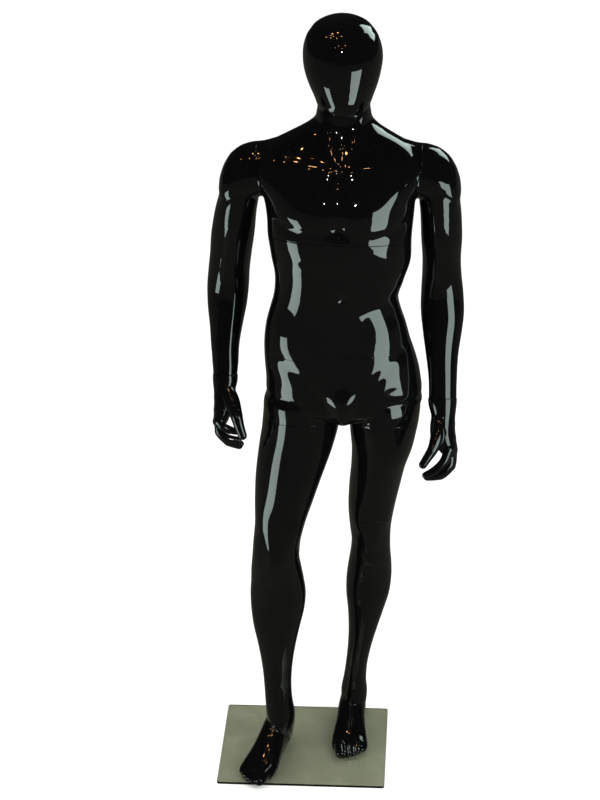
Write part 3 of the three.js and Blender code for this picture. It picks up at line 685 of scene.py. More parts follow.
def blended(net: Net, share: bpy.types.NodeSocket, base: Colour, other: Colour) -> bpy.types.NodeSocket:
    """Mixes two colours by a mask.

    Args:
        net: The net that the mix goes into.
        share: The mask, 0 for the first colour and 1 for the second.
        base: The first colour, as a row of three or a socket.
        other: The second colour, the same way.

    Returns:
        The mixed colour's socket.
    """
    mix = net.add("ShaderNodeMix", {"data_type": "RGBA"})
    net.tree.links.new(share, mix.inputs["Factor"])
    colours = [socket for socket in mix.inputs if socket.type == "RGBA"]
    for socket, colour in zip(colours, (base, other)):
        if isinstance(colour, bpy.types.NodeSocket):
            net.tree.links.new(colour, socket)
        else:
            socket.default_value = (*colour, 1.0)
    return next(out for out in mix.outputs if out.type == "RGBA")


@dataclass(frozen=True)
class GlossLacquer:
    """Deep black gloss on the mouldings."""

    black: Row = (0.0016, 0.0016, 0.0018)
    dust_colour: Row = (0.2, 0.19, 0.17)
    dust: float = 0.5
    roughness: float = 0.035
    wave_height: float = 0.00022
    peel_height: float = 0.0000012

    def material(self, effects: Effects) -> bpy.types.Material:
        """Builds the material from the shared effects."""
        material, net, shader = started("gloss_black_lacquer")
        dust = effect(net, effects.dust, Speck_size=0.0035, Amount=self.dust)
        marks = effect(net, effects.marks, Scale=1.0, Amount=0.5)
        skin = effect(net, effects.skin, Wave_height=self.wave_height, Peel_height=self.peel_height)
        link = net.tree.links.new
        specks = net.math("MULTIPLY", dust.outputs["Specks"], 0.5)
        link(blended(net, specks, self.black, self.dust_colour), shader.inputs["Base Color"])
        worn = net.math("ADD", net.math("MULTIPLY", marks.outputs["Smudges"], 0.03), net.math("MULTIPLY", marks.outputs["Hairlines"], 0.05))
        dusted = net.math("ADD", net.math("MULTIPLY", dust.outputs["Film"], 0.03), net.math("MULTIPLY", dust.outputs["Specks"], 0.4))
        link(net.math("ADD", net.math("ADD", worn, dusted), self.roughness), shader.inputs["Roughness"])
        bump = net.add("ShaderNodeBump", Height=skin.outputs["Height"], Distance=1.0, Strength=1.0)
        link(bump.outputs["Normal"], shader.inputs["Normal"])
        shader.inputs["IOR"].default_value = 1.52
        return material


@dataclass(frozen=True)
class Metal:
    """A bare or plated metal of the fittings."""

    name: str
    colour: Row
    shade: Row
    roughness: float
    grain: float
    fineness: float

    def material(self, effects: Effects) -> bpy.types.Material:
        """Builds the material from the shared effects."""
        material, net, shader = started(self.name)
        metal = effect(net, effects.metal, Fineness=self.fineness)
        marks = effect(net, effects.marks, Scale=3.0, Amount=0.6)
        link = net.tree.links.new
        tone = net.math("ADD", net.math("MULTIPLY", metal.outputs["Grain"], 0.6), net.math("MULTIPLY", marks.outputs["Smudges"], 0.4))
        link(blended(net, tone, self.colour, self.shade), shader.inputs["Base Color"])
        rough = net.math("ADD", net.math("MULTIPLY", metal.outputs["Grain"], self.grain), net.math("MULTIPLY", marks.outputs["Hairlines"], 0.1))
        link(net.math("ADD", rough, self.roughness), shader.inputs["Roughness"])
        height = net.math("MULTIPLY", metal.outputs["Grain"], 0.00002 * self.grain)
        bump = net.add("ShaderNodeBump", Height=height, Distance=1.0, Strength=1.0)
        link(bump.outputs["Normal"], shader.inputs["Normal"])
        shader.inputs["Metallic"].default_value = 1.0
        return material


@dataclass(frozen=True)
class Moulded:
    """Rubber or nylon of the small parts."""

    name: str
    colour: Row
    worn: Row
    roughness: float

    def material(self, effects: Effects) -> bpy.types.Material:
        """Builds the material from the shared effects."""
        material, net, shader = started(self.name)
        marks = effect(net, effects.marks, Scale=4.0, Amount=0.8)
        skin = effect(net, effects.skin, Wave_height=0.00004, Peel_height=0.00003)
        link = net.tree.links.new
        link(blended(net, marks.outputs["Smudges"], self.colour, self.worn), shader.inputs["Base Color"])
        link(net.math("ADD", net.math("MULTIPLY", marks.outputs["Smudges"], 0.15), self.roughness), shader.inputs["Roughness"])
        bump = net.add("ShaderNodeBump", Height=skin.outputs["Height"], Distance=1.0, Strength=1.0)
        link(bump.outputs["Normal"], shader.inputs["Normal"])
        return material


@dataclass(frozen=True)
class FloatGlass:
    """Toughened glass of the base, or its ground edge."""

    name: str
    tint: Row
    roughness: float
    ground: float
    passed: Row = (0.86, 0.87, 0.83)

    def material(self, effects: Effects) -> bpy.types.Material:
        """Builds the material from the shared effects."""
        material, net, shader = started(self.name)
        dust = effect(net, effects.dust, Speck_size=0.003, Amount=0.8)
        marks = effect(net, effects.marks, Scale=1.6, Amount=1.0)
        metal = effect(net, effects.metal, Fineness=2600.0)
        link = net.tree.links.new
        link(blended(net, net.math("MULTIPLY", dust.outputs["Film"], 0.12), self.tint, (0.6, 0.6, 0.56)), shader.inputs["Base Color"])
        film = net.math("ADD", net.math("MULTIPLY", dust.outputs["Film"], 0.05), net.math("MULTIPLY", marks.outputs["Smudges"], 0.04))
        edge = net.math("ADD", net.math("MULTIPLY", metal.outputs["Grain"], self.ground), self.roughness)
        link(net.math("ADD", film, edge), shader.inputs["Roughness"])
        shader.inputs["Transmission Weight"].default_value = 1.0
        shader.inputs["IOR"].default_value = 1.52
        path = net.add("ShaderNodeLightPath")
        lit = net.math("MAXIMUM", path.outputs["Is Shadow Ray"], path.outputs["Is Diffuse Ray"])
        clear = net.add("ShaderNodeBsdfTransparent", Color=(*self.passed, 1.0))
        seen = net.add("ShaderNodeMixShader")
        link(lit, seen.inputs[0])
        link(shader.outputs[0], seen.inputs[1])
        link(clear.outputs[0], seen.inputs[2])
        link(seen.outputs[0], material.node_tree.nodes["Material Output"].inputs["Surface"])
        return material


# ------------------------------------------------------------------ the figure's form
@dataclass
class Foot:
    """A foot with five toes; its own frame is (towards the big toe, forward, up)."""

    ankle: Row
    turn: float
    mirror: float
    rows: list[Row] = field(default_factory=lambda: [
        (-57, 0, 10, 28), (-53, 0, 19, 42), (-45, 0, 25, 54), (-30, 0, 30.5, 72), (0, 0, 32.5, 88), (35, 1, 34, 80),
        (65, 1, 36, 62), (95, 1, 40, 46), (120, 0, 43, 34), (140, -1, 43, 26), (152, -1, 38, 20), (157, -1, 28, 15),
    ])
    toes: list[tuple[Row, Row, float, float]] = field(default_factory=lambda: [
        ((25, 128, 14), (19, 175, 12), 15.5, 12.5),
        ((7, 136, 13), (3, 177, 10.5), 10.5, 9),
        ((-8, 135, 12.5), (-10, 170, 10), 10, 8.5),
        ((-21.5, 130, 12), (-21.5, 161, 9.5), 9.5, 8.2),
        ((-33, 122, 11.5), (-32, 150, 9), 9.5, 8.2),
    ])

    def placed(self, points: Points) -> Points:
        """Takes (towards the big toe, forward, up) points to the frame."""
        a = math.radians(self.turn)
        x, y = self.mirror * points[:, 0], -points[:, 1]
        flat = np.stack([
            self.ankle[0] + x * math.cos(a) - y * math.sin(a),
            self.ankle[1] + x * math.sin(a) + y * math.cos(a),
            points[:, 2],
        ], axis=1)
        return placed(flat)

    def surface(self) -> Surface:
        """Lofts the foot and sets the toes in it."""
        table = eased_rows(self.rows, 4.0)
        angle = np.linspace(0, 2 * np.pi, 72, endpoint=False)
        rings = []
        for forward, shift, half, height in table:
            middle = height * 0.4
            rise = np.where(
                np.sin(angle) > 0,
                middle + (height - middle) * shaped(np.sin(angle), 0.92),
                np.maximum(0.0, middle + middle * 1.04 * shaped(np.sin(angle), 0.45)),
            )
            rings.append(np.stack([shift + half * np.cos(angle), np.full_like(angle, forward), rise], axis=1))
        loft = skinned(np.array(rings))
        whole = Surface(self.placed(loft.verts), loft.faces)
        for start, end, wide, narrow in self.toes:
            toe = tapered([start, end], [wide, narrow], 28, flat=0.92)
            whole = whole.joined(Surface(self.placed(toe.verts), toe.faces))
        return whole

    def features(self) -> list[Swell | Crease]:
        """The toe joints and the nails, as soft rises and dips."""
        found: list[Swell | Crease] = []
        for start, end, wide, narrow in self.toes:
            joint = np.array(start) + 0.5 * (np.array(end) - np.array(start)) + (0, 0, wide * 0.9)
            nail = np.array(end) + (0, narrow * 0.2, narrow * 0.9)
            found.append(Swell(self.drawn_place(joint), (wide * 0.7, wide * 0.7, wide), 1.2))
            found.append(Swell(self.drawn_place(nail), (narrow * 0.6, narrow * 0.6, narrow), -1.0))
        return found

    def drawn_place(self, point: Points) -> Row:
        """A point of the foot in drawn millimetres."""
        return tuple(drawn(self.placed(np.array([point])))[0])


def tapered(points: list[Row], radii: Row, sides: int, flat: float = 1.0, ends: int = 5) -> Surface:
    """A tapered limb with round ends through points with a radius at each.

    Args:
        points: The middle line.
        radii: The radius at each point.
        sides: How many sides the limb has.
        flat: Height of the section over its width, with its width along x or y.
        ends: How many rings round off each end.

    Returns:
        A closed surface in the points' own units.
    """
    place = np.concatenate([[0.0], np.cumsum(np.linalg.norm(np.diff(np.array(points), axis=0), axis=1))])
    rows = [(float(s), *point, radius) for s, point, radius in zip(place, points, radii)]
    table = eased_rows(rows, max(1.0, place[-1] / 24))
    line, radius = table[:, 1:4], table[:, 4]
    tangent = np.gradient(line, axis=0)
    tangent /= np.linalg.norm(tangent, axis=1)[:, None]
    caps = np.linspace(0, np.pi / 2, ends + 1)[1:]
    caps[-1] = np.pi / 2 * 0.97
    head = [(line[0] - tangent[0] * radius[0] * math.sin(a), tangent[0], radius[0] * math.cos(a)) for a in caps[::-1]]
    tail = [(line[-1] + tangent[-1] * radius[-1] * math.sin(a), tangent[-1], radius[-1] * math.cos(a)) for a in caps]
    stops = [*head, *zip(line, tangent, radius), *tail]
    angle = np.linspace(0, 2 * np.pi, sides, endpoint=False)
    across = np.array([0.0, 1.0, 0.0]) if abs(tangent[0][1]) < 0.7 else np.array([1.0, 0.0, 0.0])
    rings = []
    for centre, along, size in stops:
        other = np.cross(along, across)
        other /= np.linalg.norm(other)
        first = np.cross(other, along)
        rings.append(
            centre
            + size * np.cos(angle)[:, None] * first
            + size * flat * np.sin(angle)[:, None] * other
        )
    return skinned(np.array(rings))


@dataclass
class Figure:
    """Every section table of the figure, in millimetres above the soles."""

    torso: list[Row] = field(default_factory=lambda: [
        (908, 98, 12, 52, 52, 66), (920, 97, 8, 110, 78, 96), (938, 96, 2, 166, 97, 122), (970, 98, 0, 176, 105, 132),
        (1010, 96, 0, 174, 107, 126), (1051, 90, 0, 170, 108, 112), (1095, 83, 0, 163, 105, 96),
        (1140, 80, 0, 154, 101, 82), (1167, 79, 0, 146, 100, 78), (1200, 80, 0, 138, 101, 80),
        (1244, 88, 0, 142, 107, 89), (1295, 92, 0, 151, 116, 101), (1346, 89, 0, 157, 125, 112),
        (1395, 90, 0, 160, 125, 116), (1434, 89, 0, 165, 119, 115), (1490, 87, 0, 184, 101, 109),
        (1525, 87, 5, 178, 86, 97), (1546, 88, 10, 156, 76, 85), (1565, 90, 15, 120, 67, 76),
        (1583, 93, 20, 86, 63, 68), (1600, 96, 24, 65, 61, 60), (1622, 97, 22.5, 58, 58, 58), (1664, 97, 22, 56.5, 56.5, 56.5),
    ])
    right_leg: list[Row] = field(default_factory=lambda: [
        (20, -55, 6, 26, 34, 34), (70, -56, 3, 33, 50, 45), (120, -60, 2, 33, 42, 42), (165, -62, -1, 32.5, 37, 37),
        (230, -62.5, -6, 36, 37, 37), (300, -62, -12, 45.5, 43, 44), (357, -61, -17, 56, 47, 54),
        (404, -58, -20, 63, 50, 66), (447, -56.5, -24, 65, 52.5, 72), (485, -57, -30, 62, 54, 69),
        (523, -58.5, -38, 58.5, 57, 62), (560, -59, -44, 54.5, 62, 59), (597, -56, -44, 54.5, 66, 61),
        (646, -48, -39, 58, 71, 67), (700, -39, -31, 67, 77, 75), (759, -28, -21, 76, 85, 83),
        (837, -10, -5, 85, 92, 92), (876, -2, 2, 87, 98, 102), (912, 2, 5, 88, 101, 114),
        (955, 2, 3, 84, 98, 116), (1010, 22, 0, 66, 78, 96),
    ])
    left_leg: list[Row] = field(default_factory=lambda: [
        (20, 117, 118, 26, 34, 30), (70, 117, 121, 31, 48, 42), (120, 119, 118, 28, 40, 39),
        (160, 122.5, 113, 26.5, 37, 37), (215, 129.5, 104, 28, 37, 37), (283, 139, 94, 34.5, 41, 43),
        (345, 146.5, 85, 43.5, 46, 53), (395, 151, 77, 51.5, 50, 62), (440, 154, 70.5, 53.5, 52, 67),
        (485, 156.5, 61, 51, 55, 63), (525, 158, 52, 47, 57, 57), (560, 159, 46, 45.5, 59, 57),
        (596, 158, 41, 48, 63, 61), (650, 160, 34, 53.5, 69, 69), (720, 168, 23, 59, 77, 78),
        (781, 177, 14, 63, 85, 86), (826, 184.5, 8, 69.5, 91, 92), (865, 187, 5, 75, 96, 102),
        (905, 189, 5, 80, 101, 113), (955, 186, 3, 84, 98, 116), (1010, 168, 0, 68, 78, 96),
    ])
    right_arm: list[Row] = field(default_factory=lambda: [
        (955, -173, -1, 27, 30, 30), (985, -172, 11, 27, 30, 30), (1018, -171, 24, 29, 32, 32),
        (1055, -172.5, 40, 32, 35.5, 35.5), (1105, -170, 61, 38, 43, 42), (1145, -168, 75, 44, 47, 46),
        (1185, -166.5, 82, 47, 48, 48), (1225, -163, 75, 46.5, 49, 49), (1270, -157, 62, 46.5, 50, 50),
        (1330, -149, 44, 48, 52.5, 52.5), (1390, -140, 29, 46, 56, 56), (1430, -132.5, 22, 45.5, 58, 58),
        (1469, -125, 20, 43, 57, 57),
    ])
    left_arm: list[Row] = field(default_factory=lambda: [
        (925, 320.5, -66, 31, 31, 31), (970, 320, -48, 31, 31, 31), (1020, 319, -27, 32, 31.5, 31.5),
        (1060, 317, -6, 36, 35, 35), (1110, 316, 22, 43.5, 42, 40), (1150, 315.5, 41, 48, 46, 45),
        (1190, 314.5, 54, 47, 48, 48), (1230, 313, 52, 44, 48, 48), (1270, 312, 45, 42.5, 49, 49),
        (1330, 311, 32, 45, 51.5, 51.5), (1390, 308.5, 23, 45, 56, 56), (1430, 306, 20, 46, 58, 58),
        (1469, 303, 20, 43, 57, 57),
    ])
    shoulder: list[Row] = field(default_factory=lambda: [
        (60, 1509, 54, 60), (96, 1509, 57, 64), (130, 1501, 57, 65), (165, 1489, 59, 65), (195, 1481, 63, 64),
        (222, 1471, 61, 61), (244, 1456, 53, 53), (256, 1445, 39, 41), (263, 1438, 20, 22), (265, 1436, 9, 10),
    ])
    shoulder_middle: float = 88.0
    shoulder_depth: float = 20.0
    head: list[Row] = field(default_factory=lambda: [
        (1640, 98, 0, 53, 83, 69), (1646, 98, 0, 56, 86, 72), (1668, 98, 0, 64, 94, 81), (1694, 97, 0, 74, 99, 93),
        (1722, 96, 0, 81.5, 102, 101), (1750, 96, 0, 84.5, 102, 103), (1777, 95, 0, 81, 98, 98),
        (1803, 94.5, 0, 69, 86, 84), (1822, 94, 0, 49, 62, 61), (1829, 94, 0, 32, 38, 42), (1832, 94, 0, 14, 17, 19),
    ])
    chin: Row = (96, -57, 1660, 41, 32, 26)

    def shoulder_loft(self, side: Side) -> Surface:
        """Lofts a shoulder sideways from the neck to the deltoid."""
        table = eased_rows(self.shoulder, 4.0)
        angle = np.linspace(0, 2 * np.pi, 96, endpoint=False)
        out, z, high, deep = (table[:, i][:, None] for i in range(4))
        rings = np.stack([
            self.shoulder_middle + side.value * out + 0 * angle[None, :],
            self.shoulder_depth + deep * np.cos(angle)[None, :],
            z + high * np.sin(angle)[None, :],
        ], axis=-1)
        surface = skinned(rings)
        return Surface(placed(surface.verts), surface.faces)

    def trunk(self) -> Surface:
        """Torso, both shoulders and arms, and the tops of both legs."""
        whole = body_loft(self.torso, 128, 5.0, 0.9)
        for side in Side:
            whole = whole.joined(self.shoulder_loft(side))
        for rows in (self.right_arm, self.left_arm):
            whole = whole.joined(body_loft(rows, 72, 5.0))
        for rows in (self.right_leg, self.left_leg):
            whole = whole.joined(body_loft([row for row in rows if row[0] > 550], 96, 5.0))
        return whole

    def leg(self, rows: list[Row], foot: Foot) -> Surface:
        """One leg with its foot, and the hips that it meets."""
        hips = body_loft([row for row in self.torso if row[0] < 1100], 128, 5.0, 0.9)
        return body_loft(rows, 96, 5.0).joined(hips).joined(foot.surface())

    def features(self) -> list[Swell | Crease]:
        """The muscles, bones and folds that stand out on the plain sections."""
        chest = [
            Swell((30, -95, 1437), (62, 60, 46), 9.0), Swell((150, -95, 1432), (62, 60, 46), 9.0),
            Crease([(90, 1505), (91, 1440), (92, 1392)], 19, 4.0),
            Crease([(-62, 1412), (-35, 1398), (10, 1389), (55, 1390), (91, 1402)], 15, 3.6),
            Crease([(91, 1402), (125, 1384), (165, 1376), (205, 1382), (240, 1400)], 15, 3.6),
            Swell((92, -62, 1512), (13, 34, 15), -8.0),
            Crease([(104, 1515), (140, 1524), (190, 1530), (240, 1528)], 12, -3.6),
            Crease([(80, 1515), (45, 1524), (-10, 1530), (-62, 1528)], 12, -3.6),
            Crease([(150, 1548), (190, 1550)], 21, 2.2), Crease([(35, 1548), (-5, 1550)], 21, 2.2),
            Crease([(97, 1518), (118, 1560), (142, 1630)], 11, -3.4), Crease([(89, 1518), (72, 1560), (52, 1630)], 11, -3.4),
            Swell((97, -45, 1560), (15, 25, 40), -3.0),
            Crease([(-48, 1500), (-62, 1460), (-58, 1432)], 16, 1.7), Crease([(224, 1500), (238, 1460), (234, 1432)], 16, 1.7),
        ]
        belly = [
            Crease([(92, 1385), (94, 1300), (99, 1245)], 16, 1.8), Crease([(100, 1220), (98, 1110)], 19, 0.7),
            Crease([(42, 1340), (70, 1333), (94, 1336), (118, 1331), (146, 1334)], 14, 1.0),
            Crease([(46, 1286), (94, 1282), (144, 1284)], 14, 1.0),
            Crease([(40, 1350), (34, 1300), (38, 1230), (48, 1160)], 19, 1.7),
            Crease([(148, 1346), (156, 1300), (154, 1230), (146, 1160)], 19, 1.7),
            Swell((100, -108, 1231), (9, 25, 12), -5.2), Swell((100, -108, 1247), (11, 25, 5), 0.7),
            Swell((-30, -70, 1130), (34, 50, 40), 3.5), Swell((192, -60, 1140), (36, 50, 40), 4.0),
            Swell((-52, 0, 1300), (22, 45, 26), 2.5), Swell((232, 0, 1290), (22, 45, 26), 2.5),
        ]
        hips = [
            Crease([(-42, 1072), (0, 1040), (45, 992), (76, 952)], 18, 2.8),
            Crease([(222, 1085), (185, 1045), (150, 995), (122, 955)], 18, 2.8),
            Swell((98, -95, 978), (30, 36, 40), 17.0), Swell((98, -70, 935), (24, 40, 20), 8.0),
            Crease([(58, 985), (76, 940)], 14, 2.2), Crease([(140, 985), (122, 940)], 14, 2.2),
            Swell((40, 110, 985), (52, 60, 55), 20.0), Swell((152, 110, 985), (52, 60, 55), 20.0),
            Crease([(97, 1060), (97, 990), (97, 930)], 13, 23.4, front=False),
            Crease([(20, 928), (55, 918), (92, 922)], 14, 6.0, front=False),
            Crease([(102, 922), (140, 918), (175, 928)], 14, 6.0, front=False),
            Swell((60, 100, 1085), (12, 31, 15), -2.0), Swell((130, 100, 1085), (12, 31, 15), -2.0),
            Swell((-66, 15, 965), (25, 40, 45), -3.0), Swell((262, 15, 965), (25, 40, 45), -3.0),
        ]
        back = [
            Crease([(92, 1560), (90, 1450), (88, 1300), (84, 1180), (88, 1095)], 20, 8.2, front=False),
            Crease([(125, 1320), (118, 1200), (120, 1120)], 35, -2.2, front=False),
            Crease([(55, 1320), (50, 1200), (55, 1120)], 35, -2.2, front=False),
            Swell((22, 100, 1450), (36, 40, 58), 8.0), Swell((156, 100, 1450), (36, 40, 58), 8.0),
            Crease([(48, 1500), (50, 1440), (38, 1395)], 19, 2.5, front=False),
            Crease([(132, 1500), (130, 1440), (142, 1395)], 19, 2.5, front=False),
            Crease([(-20, 1395), (5, 1340), (20, 1260)], 26, -1.9, front=False),
            Crease([(198, 1395), (174, 1340), (158, 1260)], 26, -1.9, front=False),
        ]
        arms = [
            Swell((-150, -25, 1340), (24, 30, 62), 4.5), Swell((312, -20, 1335), (24, 30, 62), 4.5),
            Swell((-160, 85, 1330), (26, 30, 60), 3.5), Swell((318, 80, 1330), (26, 30, 60), 3.5),
            Swell((-172, 20, 1425), (22, 40, 26), -3.0), Swell((350, 20, 1425), (22, 40, 26), -3.0),
            Swell((-150, 30, 1215), (32, 22, 28), -2.3), Swell((303, 5, 1215), (32, 22, 28), -2.3),
            Swell((-168, 130, 1192), (19, 20, 25), 3.2), Swell((316, 102, 1194), (19, 20, 25), 3.2),
            Swell((-192, 60, 1140), (22, 34, 44), 3.0), Swell((342, 20, 1140), (22, 34, 44), 3.0),
            Swell((-196, 30, 1020), (9, 15, 15), 1.6), Swell((348, -10, 1008), (9, 15, 15), 1.6),
        ]
        return chest + belly + hips + back + arms + self.leg_features()

    def leg_features(self) -> list[Swell | Crease]:
        """Thighs, knees, shins, calves and ankles of both legs."""
        right = [
            Swell((-30, -112, 760), (30, 40, 110), 3.0), Swell((-10, -92, 640), (20, 26, 42), 6.0),
            Swell((-84, -82, 665), (20, 30, 52), 4.0),
            Swell((-53, -106, 575), (28, 32, 34), 4.5), Swell((-26, -96, 592), (12, 25, 32), -2.3),
            Swell((-83, -92, 590), (12, 25, 32), -2.3), Swell((-55, -92, 531), (18, 25, 19), 2.6),
            Swell((-38, -84, 545), (11, 18, 15), -2.0), Swell((-72, -82, 545), (11, 18, 15), -2.0),
            Crease([(-56, 520), (-60, 430), (-60, 330), (-58, 200)], 13, -1.7),
            Swell((-30, 30, 420), (26, 36, 62), 5.0), Swell((-85, 32, 432), (24, 34, 60), 4.0),
            Crease([(-57, 430), (-58, 370)], 14, 1.9, front=False), Crease([(-56, 560), (-56, 520)], 32, 3.3, front=False),
            Swell((-24, 6, 96), (18, 22, 25), 2.1), Swell((-96, 12, 84), (18, 21, 24), 1.8),
            Crease([(-62, 250), (-58, 130), (-56, 90)], 11, -2.2, front=False),
            Swell((-34, 32, 110), (10, 19, 40), -2.6), Swell((-88, 32, 105), (10, 19, 40), -2.6),
            Crease([(-62, 130), (-70, 60)], 10, -1.4),
        ]
        left = [
            Swell((176, -74, 770), (28, 38, 110), 3.0), Swell((134, -22, 640), (18, 24, 40), 6.0),
            Swell((196, -18, 665), (18, 28, 50), 4.0),
            Swell((161, -16, 577), (25, 32, 32), 4.5), Swell((136, -8, 594), (11, 25, 32), -2.3),
            Swell((187, -6, 590), (11, 25, 32), -2.3), Swell((160, -4, 534), (16, 25, 19), 2.6),
            Swell((146, 2, 546), (10, 18, 15), -2.0), Swell((176, 4, 546), (10, 18, 15), -2.0),
            Crease([(158, 520), (152, 430), (140, 320), (127, 200)], 13, -1.7),
            Swell((130, 124, 420), (22, 32, 60), 5.0), Swell((176, 126, 432), (20, 30, 58), 4.0),
            Crease([(154, 430), (150, 370)], 14, 1.9, front=False), Crease([(158, 560), (158, 520)], 29, 3.3, front=False),
            Swell((87, 116, 98), (18, 22, 25), 2.0), Swell((149, 124, 86), (18, 21, 24), 1.6),
            Crease([(132, 250), (120, 130), (117, 90)], 11, -2.2, front=False),
            Swell((95, 146, 110), (10, 19, 40), -2.6), Swell((143, 148, 105), (10, 19, 40), -2.6),
            Crease([(119, 130), (117, 60)], 10, -1.4),
        ]
        return right + left


@dataclass
class Hand:
    """A relaxed hand in its wrist seam's own frame: u to the thigh, v to the back, w up the forearm."""

    seam: Seam
    mirror: float
    palm: list[Row]
    fingers: list[tuple[float, float, list[tuple[float, float]]]]
    thumb: list[Row]
    thumb_radii: Row
    fullness: float = 1.16

    def placed(self, points: Points) -> Points:
        """Takes (u, v, w) millimetres to the frame."""
        turn = Vector((0, 0, -1)).rotation_difference(self.seam.normal).to_matrix()
        local = points * np.array([self.mirror, 1.0, 1.0]) * MM * SCALE
        return local @ np.array(turn).T + np.array(self.seam.point)

    def surface(self) -> Surface:
        """Palm, four fingers with knuckles, and the thumb."""
        table = eased_rows(sorted(self.palm), 3.0)
        angle = np.linspace(0, 2 * np.pi, 72, endpoint=False)
        w, u, v, half, front, back = (table[:, i][:, None] for i in range(6))
        depth = np.where(np.sin(angle)[None, :] < 0, front, back)
        across, along = shaped(np.cos(angle), 0.95), shaped(np.sin(angle), 0.9)
        palm = skinned(np.stack([u + half * across, v + depth * along, w + 0 * angle[None, :]], axis=-1))
        whole = Surface(self.placed(palm.verts), palm.faces)
        for v_place, radius, path in self.fingers:
            points = [(u_place, v_place, w_place) for u_place, w_place in path]
            finger = tapered(points, tuple(radius * self.fullness * share for share in (1.04, 1.0, 0.94, 0.8)), 36)
            whole = whole.joined(Surface(self.placed(finger.verts), finger.faces))
        thumb = tapered(self.thumb, tuple(radius * self.fullness for radius in self.thumb_radii), 36)
        return whole.joined(Surface(self.placed(thumb.verts), thumb.faces))

    def features(self) -> list[tuple[Points, float, float]]:
        """Knuckles, joint folds and tendons as (place, radius, height) in the frame, in metres."""
        marks: list[tuple[Row, float, float]] = []
        for v_place, radius, path in self.fingers:
            (u0, w0), (u1, w1), (u2, w2), (u3, w3) = path
            marks.append(((u0 - radius * 0.9, v_place, w0 - 2), 8.0, 1.6))
            marks.append(((u1 - radius * 0.8, v_place, w1 - radius * 0.5), 6.5, 1.3))
            marks.append(((u2 - radius * 0.2, v_place, w2 - radius * 0.9), 6.0, 0.8))
            tip = (u3 + radius * 0.3, v_place, w3 - radius * 0.8)
            marks.append((tip, 5.0, -0.7))
            for share in (0.25, 0.5, 0.75):
                marks.append(((u0 * share - radius * 1.6, v_place * share, w0 * share), 6.0, 0.8))
        marks.append(((self.thumb[2][0], self.thumb[2][1] - 12, self.thumb[2][2]), 8.0, 1.2))
        places = self.placed(np.array([mark[0] for mark in marks]))
        return [(place, mark[1] * MM, mark[2] * MM) for place, mark in zip(places, marks)]

    def mesh(self) -> bpy.types.Mesh:
        """Joins the hand into one skin and models its knuckles."""
        mesh = remeshed(self.surface(), HAND_VOXEL)
        relaxed(mesh, 26)
        points, facing = positions(mesh), normals(mesh)
        total = np.zeros(len(points))
        for place, radius, height in self.features():
            total += height * np.exp(-np.sum((points - place) ** 2, axis=1) / radius**2)
        set_positions(mesh, points + facing * total[:, None])
        relaxed(mesh, 6)
        return mesh


def right_hand() -> Hand:
    """The right hand, with its fingers curled in."""
    return Hand(
        SEAMS["right_wrist"], 1.0,
        [(14, 0, 0, 28, 32, 32), (-14, 0, 0, 28, 32, 32), (-34, -1, 0, 25, 31, 31), (-55, 0, 0, 25, 35, 34),
         (-78, -3, -1, 22, 40, 38), (-96, -7, 0, 18.5, 41, 40), (-112, -11, 1, 15, 38, 38), (-120, -11.5, 2, 9, 32, 32)],
        [(-31, 8.2, [(-9, -104), (-2, -115), (12, -122), (29, -127)]),
         (-10.5, 9, [(-12, -106), (-10, -130), (8, -145), (31, -149)]),
         (10.5, 8.8, [(-13, -106), (-13, -133), (5, -153), (35, -160)]),
         (30, 8.2, [(-13, -102), (-14, -130), (3, -157), (31, -168)])],
        [(4, -14, -36), (17, -28, -58), (29, -40, -88), (36, -45, -111), (44, -44, -134)],
        (17, 16, 12.5, 10.3, 8.8),
    )


def left_hand() -> Hand:
    """The left hand, with its fingers nearly straight."""
    return Hand(
        SEAMS["left_wrist"], -1.0,
        [(14, 0, 0, 32.5, 36, 36), (-14, 0, 0, 31.5, 34, 34), (-40, -2, 0, 27, 33, 33), (-63, -1, 0, 28, 36, 35),
         (-91, -4, 0, 28, 40, 38), (-112, -12, 1, 23, 38, 37), (-128, -18, 2, 14, 31, 31)],
        [(-31, 8.6, [(-15, -112), (-5, -139), (14, -159), (35, -171)]),
         (-10.5, 9.2, [(-20, -114), (-17, -150), (4, -170), (31, -177)]),
         (10.5, 9, [(-24, -114), (-21, -151), (0, -173), (25, -179)]),
         (30, 8.4, [(-24, -110), (-22, -142), (-6, -164), (15, -173)])],
        [(6, -18, -58), (12, -34, -90), (20, -41, -112), (31, -44, -130), (41, -45, -146)],
        (15, 13, 10.5, 9, 8),
    )


# ------------------------------------------------------------------ pieces
def finished(name: str, mesh: bpy.types.Mesh, body: str, slot: str, nodes: tuple[str, ...], *looks: bpy.types.Material) -> bpy.types.Object:
    """Puts a made mesh into the scene as a piece of the figure.

    Args:
        name: The piece's name.
        mesh: Its mesh, already in place.
        body: The moving body that it rides on.
        slot: The record's finish for the piece; not used.
        nodes: The frame's parts that it stands for.
        *looks: Its materials, in the order of its slots.

    Returns:
        The piece.
    """
    mesh.name = name
    mesh.materials.clear()
    for look in looks:
        mesh.materials.append(look)
    piece = bpy.data.objects.new(name, mesh)
    bpy.context.scene.collection.objects.link(piece)
    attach(piece, body)
    if nodes:
        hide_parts(*nodes)
    log.info("%s: %d faces, rides on %s", name, len(mesh.polygons), body)
    return piece


